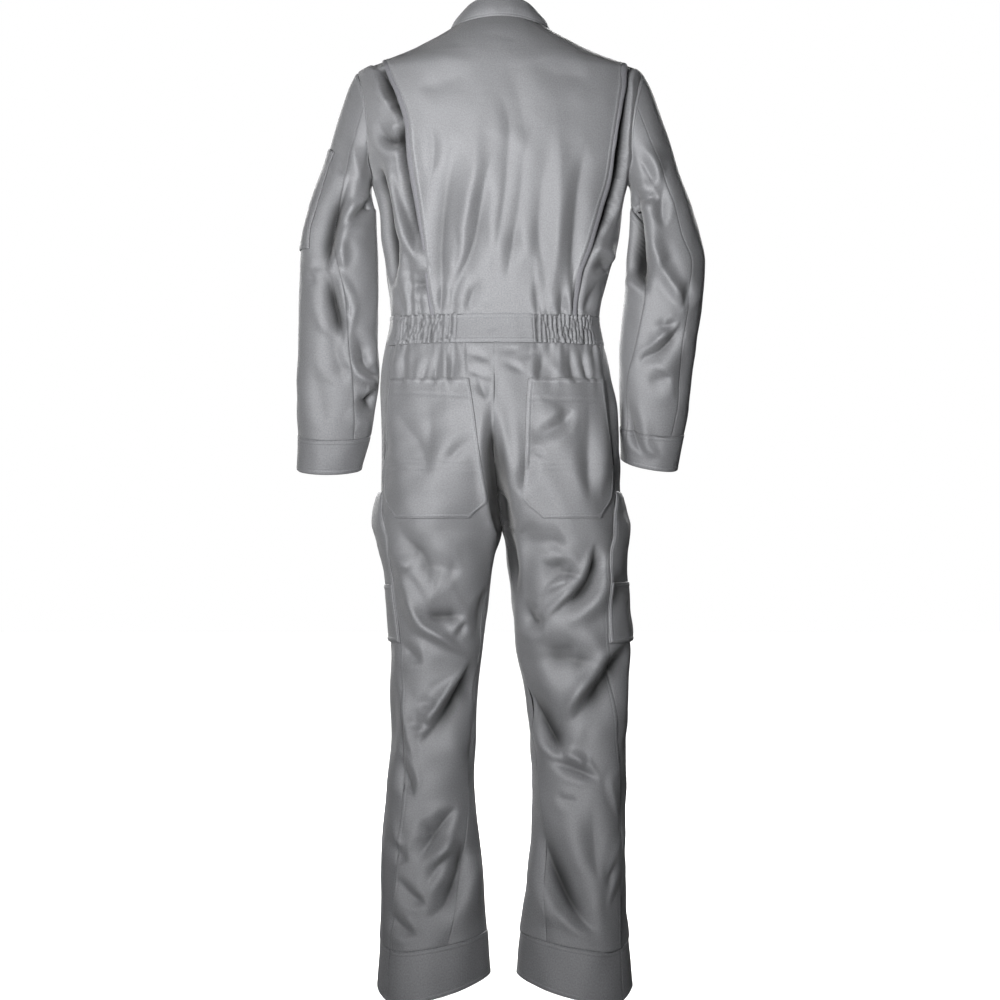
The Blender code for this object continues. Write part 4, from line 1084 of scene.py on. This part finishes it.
def pleat_and_side(side):
    """The pleat's folded strip, and the side of the back that drops away beneath it."""
    rows = np.array([level for _, level in pleat_line(side)])
    width = PLEAT_STRIP(side, rows)
    room = TORSO("half_width", rows) - PLEAT(side, rows)
    width = np.minimum(width, np.maximum(room * 0.8, 0.5))
    axis = line_axis(pleat_line(side))
    section = [(0, -0.4), (0.2, 0.5), (0.42, 1.1), (0.65, 1.3), (0.82, 0.9), (0.94, 0), (1, -1.3), (0.93, -2.6)]
    section += [(0.7, -3.4), (0.35, -3.7), (0, -3.9), (-0.4, -4.1)]
    lines = []
    for out, depth in section:
        points = torso(*np.array(pleat_line(side, width * out)).T)
        lines.append(points + normals_of(side, width * out) * depth)
    grid = trimmed(np.stack(lines, axis=1), last=0, high=0.5)
    inside = grid.mean(axis=1, keepdims=True) - 60 * normals_of(side, 0)[:, None]
    shell = Shell(grid, inside, 2.0)
    shell.height += 0.35 * uneven(shell.base, 38, 2.2, 41 + SIDES[side])
    shell_piece(f"pleat_shell_{side}", shell, 1.2, f"back_pleat_{side}", CUT_PLEAT[side])

    inner = pleat_line(side, -PLEAT_UNDERLAY + 1)
    outer = side_line(side, "back")
    grid = trimmed(grid_between(torso, inner, outer, even(30)), first=0, high=0.5)
    shell = Shell(grid, line_axis(inner), 3.4, last=TUCKED, low=TUCKED, high=TUCKED)
    reach = reaches(shell.base)
    level = shell.base[..., 2]
    strip = PLEAT_STRIP(side, level) + PLEAT_UNDERLAY
    beyond = reach - strip - PLEAT_MOUTH(side, level) / np.maximum(shell.normal[..., 1], 0.5)
    drop = np.maximum(PLEAT_GAP(side, level), 5 - 5 * ease((level + 60) / 14))
    shell.height -= drop * (1 - ease(beyond / 9)) * ease((reach[:, -1:] - reach) / 5)
    # painted shade in the gap beside the pleat, where the side drops away
    shell.shade = (1 - ease((beyond - 1) / 5)) * ease((drop - 4) / 9)
    shell.fold(SIDE_FOLDS[side], gathers=ABOVE_BAND, roughness=0.6, seed=31 + SIDES[side], wavelength=40)
    shell_piece(f"side_shell_{side}", shell, CLOTH, f"back_side_{side}", CUT_SIDE[side])


def normals_of(side, shift):
    line = np.array(pleat_line(side, shift))
    here = torso(line[:, 0], line[:, 1])
    nearby = torso(line[:, 0] - SIDES[side] * 1.5, line[:, 1])
    along = np.gradient(here, axis=0)
    normal = unit(np.cross(along, nearby - here))
    out = here - torso_axis(line[:, 1])
    return normal * np.sign((normal * out).sum(-1, keepdims=True))


def front(side):
    stations = np.concatenate([STATIONS, np.arange(14.25, 18.01, 0.25)])
    beside = np.linspace(ARMPIT, -64, 9)[1:]
    levels = fine_rows(np.concatenate([COARSE_SIDE, beside, [-50, -36, -18, 0]]), stations)
    shoulder = np.interp(stations[stations > 14.001], np.arange(14, 19), [SHOULDER_TIP, -52, -36, -18, 0])
    outer = side_line(side, "front") + [(SIDES[side] * 90, level) for level in shoulder]
    inner = [(SIDES[side] * 180, level) for level in levels]
    grid = trimmed(grid_between(torso, outer, inner, even(60)))
    shell = Shell(grid, torso_axis(levels)[:, None], PLAIN, first=LAP, last=ROLLED, low=TUCKED, high=TUCKED)
    shell.fold((), FRONT_FOLDS, front_gathers=FRONT_ABOVE, roughness=0.9, seed=51 + SIDES[side], wavelength=60)
    stitch_rows(shell, edges=("first",), skip=2)
    shell_piece(f"front_shell_{side}", shell, CLOTH, f"front_{side}", (0.30, 0.50, 0.125))


def collar():
    bearing = np.concatenate([-np.linspace(0, 180, 121)[:0:-1], np.linspace(0, 180, 121)])
    foot = torso(bearing, np.zeros(len(bearing)))
    inward = unit((foot.mean(axis=0) - foot) * (1, 1, 0))
    share = even(16)[:, None, None]
    aside = np.sin(np.radians(bearing))[:, None] ** 2
    lean = (9 + 10 * aside) * share - 3 * np.sin(np.pi * share)
    height = (COLLAR_HEIGHT - COLLAR_SIDE_DROP * aside) * share
    grid = foot + inward * lean + stack(0, 0, (0.7 + height - 4 * (1 - share) ** 6)[..., 0])
    axis = stack(0, grid[..., 1].mean(), grid[:, 0, 2])[:, None]
    grid = trimmed(grid, first=0, last=0, high=0)
    shell = Shell(grid, axis, 3.8, first=EDGE, last=EDGE, low=LAP, high=ROLLED)
    shell.fold(COLLAR_FOLDS, roughness=0.5, seed=61, wavelength=40)
    stitch_rows(shell, edges=("low",), rows=(FIRST_ROW,), thickness=BAND)
    stitch_rows(shell, edges=("high", "first", "last"), rows=(SECOND_ROW,), thickness=BAND)
    shell_piece("collar_shell", shell, BAND, "collar", (0.46, 0.05, 0.0165), finish=BAND_FINISH)


# ---------------------------------------------------------------- the waistband

FLAT_BACK = 19  # bearing where the flat middle of the back band ends
ELASTIC_END = 66  # bearing where the gathered part ends and the front band begins


def band_shell(start, end, columns, step, first, last):
    levels = np.linspace(WAIST_TOP + 1.6, WAIST_BOTTOM - 1.6, 15)
    grid = grid_between(torso, [(start, v) for v in levels], [(end, v) for v in levels], even(columns))
    grid = trimmed(grid)
    return Shell(grid, torso_axis(levels)[:, None], step, first=first, last=last, low=ROLLED, high=ROLLED)


def waistband():
    for name, start, end, cut in (
        ("back", -FLAT_BACK, FLAT_BACK, (0.13, 0.045, 0.0053)),
        ("front_L", ELASTIC_END, 180, (0.28, 0.045, 0.012)),
        ("front_R", -ELASTIC_END, -180, (0.28, 0.045, 0.012)),
    ):
        shell = band_shell(start, end, 60, 3.2, TUCKED, TUCKED)
        shell.fold(BAND_FOLDS, roughness=0.5, seed=71 + len(name), wavelength=35)
        stitch_rows(shell, edges=("low", "high"), rows=(FIRST_ROW,), thickness=BAND)
        shell_piece(f"band_{name}", shell, BAND, f"waistband_{name}", cut, finish=BAND_FINISH)
    for side, way in SIDES.items():
        shell = band_shell(way * FLAT_BACK, way * ELASTIC_END, 150, 1.5, None, None)
        _, up = elevation(shell.base)
        rng = np.random.default_rng(81 + way)
        along = reaches(shell.base)
        total = along[:, -1:].mean()
        wander = 2.2 * np.sin(up / 9 + along / 17 + rng.uniform(0, 6)) + 1.2 * np.sin(up / 4.4 + along / 7)
        places = np.cumsum(rng.uniform(3.4, 9.5, 40))
        places = places[places < total - 3]
        heights = np.zeros(along.shape)
        for place in places:
            width = rng.uniform(1.1, 2.3)
            depth = rng.uniform(2.2, 5.0)
            lean = rng.uniform(-0.08, 0.08) * (up - (WAIST_TOP + WAIST_BOTTOM) / 2)
            heights -= depth * bell((along - place - wander * 0.5 - lean) / width)
        heights += 1.3 * np.sin(2 * np.pi * (along + wander) / 8.3)
        fade = ease(along / 8) * ease((along[:, -1:] - along) / 10)
        shell.height += heights * fade
        # painted shade in the troughs of the elastic's gathers
        shell.shade = 0.6 * ease((-heights * fade - 0.8) / 3.5)
        shell.fold((), roughness=0.4, seed=91 + way, wavelength=25)
        stitch_rows(shell, edges=("low", "high"), rows=(FIRST_ROW,), thickness=BAND)
        shell_piece(f"band_elastic_{side}", shell, BAND, f"waistband_elastic_{side}", (0.20, 0.045, 0.0085),
                    finish=BAND_FINISH)


# ---------------------------------------------------------------- the legs

HEM_TOP = LEG_BOTTOM + HEM_BAND
LEG_LEVELS = np.concatenate([np.linspace(WAIST_BOTTOM, CROTCH, 75), np.linspace(CROTCH, HEM_TOP, 160)[1:]])
HEM_LEVELS = np.linspace(HEM_TOP, LEG_BOTTOM, 24)


def leg_grid(side, half, rows, shares=None):
    """The back or the front of a leg, from its inner seam to its side seam."""
    sign = 1 if half == "back" else -1
    inseam = np.where(rows >= CROTCH, sign * centre_turn(side, rows), LEG[side]("inseam", rows))
    seam = turn_at(side, LEG[side]("side_seam", rows), rows) - (0 if half == "back" else 360)
    shares = even(70 if half == "back" else 80) if shares is None else shares
    return grid_between(lambda t, v: leg(side, t, v), list(zip(inseam, rows)), list(zip(seam, rows)), shares)


def leg_folds(shell, side, seed, roughness=1.5):
    """The folds of seat and legs. Beside the crotch seam the cloth is held, so that the legs stay apart."""
    away = np.abs(shell.base[..., 0] - CENTRE_PLANE("x", shell.base[..., 2]))
    shell.hold[..., 0] = 1 - (1 - ease(away / 26 - 0.05)) * ease((shell.base[..., 2] - CROTCH + 34) / 44)
    shell.fold(SEAT_FOLDS + LEG_FOLDS[side], FRONT_LEG_FOLDS, BELOW_BAND, FRONT_BELOW, roughness, seed, 62)


FORK_SHADE_LINE = ((-915, -830, -755, -640), (26, 12, 3, -6))  # levels, and places right of the middle, of the shade painted along the fork
FORK_SHADE_WIDTH = 13


def legs(side):
    axis = leg_axis(side, LEG_LEVELS)[:, None]
    grid = trimmed(leg_grid(side, "back", LEG_LEVELS))
    shell = Shell(grid, axis, 4.2, first=PLAIN_SEAM, last=FLAT, low=TUCKED, high=TUCKED)
    right, up = elevation(shell.base)
    deep = bell((right - np.interp(up, *FORK_SHADE_LINE)) / FORK_SHADE_WIDTH, 4)
    # painted shade: a dark band painted along the fork between the legs
    shell.shade = 0.9 * deep * ease((up + 925) / 70) * ease((-640 - up) / 70)
    leg_folds(shell, side, 101 + SIDES[side])
    if side == "R":
        seat = np.argmin(abs(shell.base[:, 0, 2] - CROTCH))
        for row in (FIRST_ROW, SECOND_ROW):
            stitched(shell.points()[2:seat, row], shell.normal[2:seat, row])
    stitch_rows(shell, edges=("last",), rows=(FIRST_ROW,), skip=2)
    shell_piece(f"leg_back_shell_{side}", shell, CLOTH, f"leg_back_{side}", (0.30, 1.06, 0.20))
    grid = trimmed(leg_grid(side, "front", LEG_LEVELS))
    shell = Shell(grid, axis, PLAIN, first=PLAIN_SEAM, last=TUCKED, low=TUCKED, high=TUCKED)
    leg_folds(shell, side, 111 + SIDES[side])
    shell_piece(f"leg_front_shell_{side}", shell, CLOTH, f"leg_front_{side}", (0.46, 1.06, 0.36))


def leg_hem(side):
    ahead, behind = (leg_grid(side, half, HEM_LEVELS) for half in ("front", "back"))
    grid = trimmed(np.concatenate([ahead[:, ::-1], behind[:, 1:]], axis=1), high=0)
    shell = Shell(grid, leg_axis(side, HEM_LEVELS)[:, None], 5, first=TUCKED, last=TUCKED, low=FLAT, high=ROLLED)
    leg_folds(shell, side, 121 + SIDES[side], 0.7)
    stitch_rows(shell, edges=("low",), rows=(FIRST_ROW, SECOND_ROW))
    stitch_rows(shell, edges=("high",), rows=(SECOND_ROW,))
    stitch_rows(shell, edges=("first", "last"), rows=(FIRST_ROW,))
    shell_piece(f"hem_shell_{side}", shell, CLOTH, f"leg_hem_{side}", (0.58, 0.08, 0.042))


POCKET_TOP, POCKET_FOOT = -562, -780
POCKET_LINES = 26, 132, 139  # how far below its top a back pocket is sewn across


def back_pocket(side):
    """A patch pocket with its corners cut off, on the seat's own surface and folds, and a little fuller."""
    levels = np.linspace(POCKET_TOP, POCKET_FOOT, 56)
    edges = BACK_POCKET[side]
    inner, outer = (turn_at(side, edges(name, levels), levels) for name in ("inner", "outer"))
    grid = grid_between(lambda t, v: leg(side, t, v), list(zip(inner, levels)), list(zip(outer, levels)), even(50))
    shell = Shell(grid, leg_axis(side, levels)[:, None], 3.4, *[EDGE_LAP] * 4)
    shell.seam[: len(SEAM_STATIONS)] *= 0.6
    leg_folds(shell, side, 101 + SIDES[side])
    rows, columns = shell.base.shape[:2]
    across = np.sin(np.pi * np.linspace(0, 1, columns))[None]
    down = np.linspace(0, 1, rows)[:, None]
    shell.height += LAY + 0.2 + across * (2.6 * bell(down / 0.12) + 1.8 * np.sin(np.pi * down))
    right, up = elevation(shell.base)
    for drop, slope in zip(POCKET_LINES, (0.04, 0, 0)):
        shell.height += pressed_line(up - (POCKET_TOP - drop - slope * right))
    stitch_rows(shell, edges=("first", "last", "high"), rows=(FIRST_ROW, SECOND_ROW), thickness=POCKET_CLOTH)
    for drop in POCKET_LINES:
        row = np.argmin(abs(shell.base[:, columns // 2, 2] - (POCKET_TOP - drop)))
        stitched(shell.points()[row, 3:-3], shell.normal[row, 3:-3], POCKET_CLOTH)
    shell_piece(f"pocket_shell_{side}", shell, POCKET_CLOTH, f"back_pocket_{side}", (0.18, 0.26, 0.037))


def pressed_line(away):
    """A row of stitches pulled into a pocket, with the cloth raised beside it."""
    return -1.1 * bell(away / 1.8) + 0.5 * bell((np.abs(away) - 4) / 2)


THIGH_TOP, THIGH_FOOT, SMALL_TOP = -738, -978, -880


def thigh_pocket(side):
    """The thigh pocket stands out from the side seam forwards, and a small pocket lies on its lower part."""
    levels = np.linspace(THIGH_TOP, THIGH_FOOT, 66)
    grid = trimmed(leg_grid(side, "front", levels, 1 - 0.4 * even(40)), low=0, high=0)
    axis = leg_axis(side, levels)[:, None]
    shell = Shell(grid, axis, 3.8, first=EDGE_LAP, last=EDGE_LAP, low=TUCKED, high=EDGE_LAP)
    leg_folds(shell, side, 131 + SIDES[side])
    rows, columns = shell.base.shape[:2]
    down = np.linspace(0, 1, rows)[:, None]
    across = np.sin(np.pi * np.linspace(0, 1, columns))[None] ** 0.7
    bulge = np.interp(down, [0, 0.08, 0.16, 0.26, 0.38, 0.52, 0.75, 1], [0, 2, 7, 9.5, 7, 2.5, 0.8, 0])
    shell.height += (LAY + 0.2) * ease(down / 0.07) + bulge * across - 2.5 * (1 - ease(down / 0.03))
    stitch_rows(shell, edges=("first", "last", "high"), rows=(FIRST_ROW, SECOND_ROW), thickness=POCKET_CLOTH)
    shell_piece(f"thigh_shell_{side}", shell, POCKET_CLOTH, f"thigh_pocket_{side}", (0.18, 0.23, 0.038))
    begin = np.argmin(abs(shell.base[:, 0, 2] - SMALL_TOP))
    part = slice(begin + 1, rows - 2)
    small = Shell(shell.points(1.1)[part, 2 : columns // 2 + 4], shell.axis[part], 3, *[EDGE_LAP] * 4)
    small.height += 0.3
    stitch_rows(small, edges=("first", "last", "high"), rows=(FIRST_ROW,), thickness=POCKET_CLOTH)
    stitch_rows(small, edges=("low",), rows=(SECOND_ROW,), thickness=POCKET_CLOTH)
    shell_piece(f"small_pocket_shell_{side}", small, POCKET_CLOTH, f"thigh_pocket_small_{side}", (0.10, 0.10, 0.0085))


# ---------------------------------------------------------------- the sleeves

def sleeve_grids(side, runs, columns=(70, 40)):
    """The top and the under sleeve. Their seams follow the armhole's points at the top."""
    share, level = np.clip(runs, 0, 1), level_of(runs)
    back = BACK_SEAM_AT_ARMHOLE + (ARM[side]("back_seam", level) - BACK_SEAM_AT_ARMHOLE) * share
    inner = INNER_SEAM_AT_ARMHOLE + (ARM[side]("inner_seam", level) - INNER_SEAM_AT_ARMHOLE) * share
    edge, under, top = (list(zip(turn, runs)) for turn in (back, inner, inner - 360))
    surface = lambda turn, run: sleeve(side, turn, run)
    return (
        grid_between(surface, edge, top, even(columns[0])),
        grid_between(surface, edge, under, even(columns[1])),
    )


def sleeves(side):
    end = SLEEVE_END[side]
    last = run_of(end + CUFF_HEIGHT)
    runs = np.concatenate([np.linspace(0, 1, 46), np.linspace(1, last, 110)[1:]])
    axis = sleeve_axis(side, runs)[:, None]
    top, under = (trimmed(grid) for grid in sleeve_grids(side, runs))
    for name, grid, cut in (
        ("sleeve_top", top, (0.40, 0.62, 0.19)),
        ("sleeve_under", under, (0.17, 0.56, 0.05)),
    ):
        shell = Shell(grid, axis, 4.2, first=TUCKED, last=TUCKED, low=LAP, high=TUCKED)
        shell.fold(SLEEVE_FOLDS[side], FRONT_SLEEVE_FOLDS, roughness=0.8, seed=141 + SIDES[side], wavelength=50)
        stitch_rows(shell, edges=("low",))
        if name == "sleeve_top":
            stitch_rows(shell, edges=("first",), rows=(FIRST_ROW,), skip=3)
        shell_piece(f"{name}_shell_{side}", shell, CLOTH, f"{name}_{side}", cut)
        if name == "sleeve_top" and side == "L":
            sleeve_pocket(grid, axis)
    cuff_runs = np.linspace(last, run_of(end), 20)
    cuff_top, cuff_under = sleeve_grids(side, cuff_runs)
    grid = trimmed(np.concatenate([cuff_under[:, ::-1], cuff_top[:, 1:]], axis=1), high=0)
    shell = Shell(grid, sleeve_axis(side, cuff_runs)[:, None], 4, first=TUCKED, last=TUCKED, low=FLAT, high=ROLLED)
    shell.fold(SLEEVE_FOLDS[side], FRONT_SLEEVE_FOLDS, roughness=0.6, seed=151 + SIDES[side], wavelength=45)
    stitch_rows(shell, edges=("low",), rows=(FIRST_ROW,), thickness=BAND)
    stitch_rows(shell, edges=("high",), rows=(SECOND_ROW,), thickness=BAND)
    shell_piece(f"cuff_shell_{side}", shell, BAND, f"cuff_{side}", (0.35, 0.06, 0.0175), finish=BAND_FINISH)


def sleeve_pocket(grid, axis):
    """The pen pocket on the left upper sleeve, which covers this part of the sleeve's grid."""
    rows, columns = slice(25, 66), slice(11, 30)
    shell = Shell(grid[rows, columns], axis[rows], 3, *[EDGE_LAP] * 4)
    shell.fold(SLEEVE_FOLDS["L"], FRONT_SLEEVE_FOLDS, roughness=0.8, seed=142, wavelength=50)
    shell.height += LAY + 0.4
    stitch_rows(shell, edges=("first", "last", "high"), thickness=POCKET_CLOTH)
    stitch_rows(shell, edges=("low",), rows=(SECOND_ROW,), thickness=POCKET_CLOTH)
    shell_piece("sleeve_pocket_shell", shell, POCKET_CLOTH, "sleeve_pocket_L", (0.09, 0.17, 0.013))


# ---------------------------------------------------------------- the front closure


def fly():
    """The strip that covers the front opening, from the collar to above the crotch."""
    rows = []
    for level in np.linspace(-0.5, FLY_BOTTOM, 150):
        across = np.linspace(-1, 1, 15) * FLY_HALF_WIDTH
        if level > WAIST_BOTTOM:
            reach = np.sign(across) * np.abs(across / TORSO("half_width", level)) ** (TORSO("square", level) / 2)
            bearing = 180 - np.degrees(np.arcsin(reach))
            rows.append(torso(bearing, np.full(15, level)))
        else:
            row = []
            for x in across:
                side = "L" if x > 0 else "R"
                share = (LEG[side]("middle", level) - max(abs(x), 1)) / LEG[side]("half_width", level)
                turn = -np.degrees(np.arccos(np.clip(power(share, LEG_SQUARE / 2), -1, 1)))
                row.append(leg(side, turn, level) * (0, 1, 1) + np.array([x + CENTRE_PLANE("x", level), 0, 0]))
            rows.append(np.array(row))
    grid = np.array(rows)
    depth = grid[:, :, 1]
    flat = depth.mean(axis=1, keepdims=True)
    grid[:, :, 1] = np.where(depth > flat, flat, depth)
    axis = grid.mean(axis=1, keepdims=True) * (0, 0, 1)
    shell = Shell(grid, axis, 4.2, first=EDGE_LAP, last=EDGE_LAP, low=None, high=EDGE_LAP)
    shell.height += LAY + 1.4
    beside = np.minimum(np.arange(shell.base.shape[1]), np.arange(shell.base.shape[1])[::-1])[None]
    shell.height -= 5 * (1 - ease(beside / 3))
    shell.fold((), roughness=0.5, seed=161, wavelength=50)
    stitch_rows(shell, edges=("first", "last"), rows=(SECOND_ROW,), thickness=POCKET_CLOTH)
    shell_piece("fly_shell", shell, POCKET_CLOTH, "front_fly", (0.055, 0.60, 0.03))


back_centre()
collar()
fly()
waistband()
for key in SIDES:
    pleat_and_side(key)
    front(key)
    sleeves(key)
    legs(key)
    leg_hem(key)
    back_pocket(key)
    thigh_pocket(key)
sew("stitching")


# ---------------------------------------------------------------- floor, light and camera

FLOOR = -1562
FLOOR_HALF = 14  # metres
PICTURE_WIDTH = 1600  # what the camera takes in, at the suit


def lamp(name, place, size, power, aim=(0, 0, -700), spread=180):
    """A soft box light: its middle, width and height in millimetres, watts, and how wide it throws in degrees."""
    light = bpy.data.lights.new(name, "AREA")
    light.shape = "RECTANGLE"
    light.size, light.size_y = (value * MM for value in size)
    light.energy = power
    light.spread = np.radians(spread)
    made = placed(name, light, place)
    made.rotation_euler = (Vector(aim) * MM - made.location).to_track_quat("-Z", "Y").to_euler()


def pale_floor():
    """A pale floor that a sun of its own lights, and that casts no light back on the suit."""
    plane = bpy.data.meshes.new("floor")
    corners = [(x * FLOOR_HALF, y * FLOOR_HALF, FLOOR * MM) for x, y in ((-1, -1), (1, -1), (1, 1), (-1, 1))]
    plane.from_pydata(corners, [], [(0, 1, 2, 3)])
    pale = bpy.data.materials.new("pale_floor")
    pale.use_nodes = True
    shader = pale.node_tree.nodes["Principled BSDF"]
    shader.inputs["Base Color"].default_value = (0.86, 0.86, 0.86, 1)
    shader.inputs["Roughness"].default_value = 0.9
    plane.materials.append(pale)
    floor = placed("floor", plane)
    floor.visible_diffuse = False
    floor.visible_glossy = False
    lit = bpy.data.collections.new("floor_light")
    lit.objects.link(floor)
    overhead = bpy.data.lights.new("overhead", "SUN")
    overhead.energy = 5
    overhead.angle = 0.6
    placed("overhead", overhead).light_linking.receiver_collection = lit


def room():
    """A dim room round the suit, which the camera sees as white."""
    world = bpy.data.worlds.new("studio")
    bpy.context.scene.world = world
    world.use_nodes = True
    tree = world.node_tree
    dim, seen = tree.nodes["Background"], tree.nodes.new("ShaderNodeBackground")
    for background, colour, strength in ((dim, (0.9, 0.92, 0.95, 1), 0.035), (seen, (1, 1, 1, 1), 1.0)):
        background.inputs["Color"].default_value = colour
        background.inputs["Strength"].default_value = strength
    mix = tree.nodes.new("ShaderNodeMixShader")
    path = tree.nodes.new("ShaderNodeLightPath")
    tree.links.new(path.outputs["Is Camera Ray"], mix.inputs["Fac"])
    tree.links.new(dim.outputs["Background"], mix.inputs[1])
    tree.links.new(seen.outputs["Background"], mix.inputs[2])
    tree.links.new(mix.outputs["Shader"], tree.nodes["World Output"].inputs["Surface"])


def camera():
    lens = bpy.data.cameras.new("camera")
    lens.sensor_width = 36
    lens.lens = lens.sensor_width * EYE / PICTURE_WIDTH
    lens.clip_end = 60
    made = placed("camera", lens, (0, EYE, EYE_LEVEL))
    made.rotation_euler = (np.pi / 2, 0, np.pi)
    bpy.context.scene.camera = made


pale_floor()
room()
lamp("key", (420, 2000, -500), (640, 560), 24, aim=(0, 0, -200), spread=88)
lamp("fill_left", (2400, 2800, -600), (900, 1800), 10)
lamp("fill_right", (-2600, 2800, -600), (900, 1800), 5.5)
lamp("low", (300, 2400, -1500), (900, 500), 4, aim=(0, 0, -1440), spread=62)
lamp("front_key", (-900, -4300, 900), (2000, 1600), 230)
lamp("front_fill", (1300, -3900, 300), (1400, 1600), 115)
camera()
bpy.context.scene.view_settings.view_transform = "Standard"
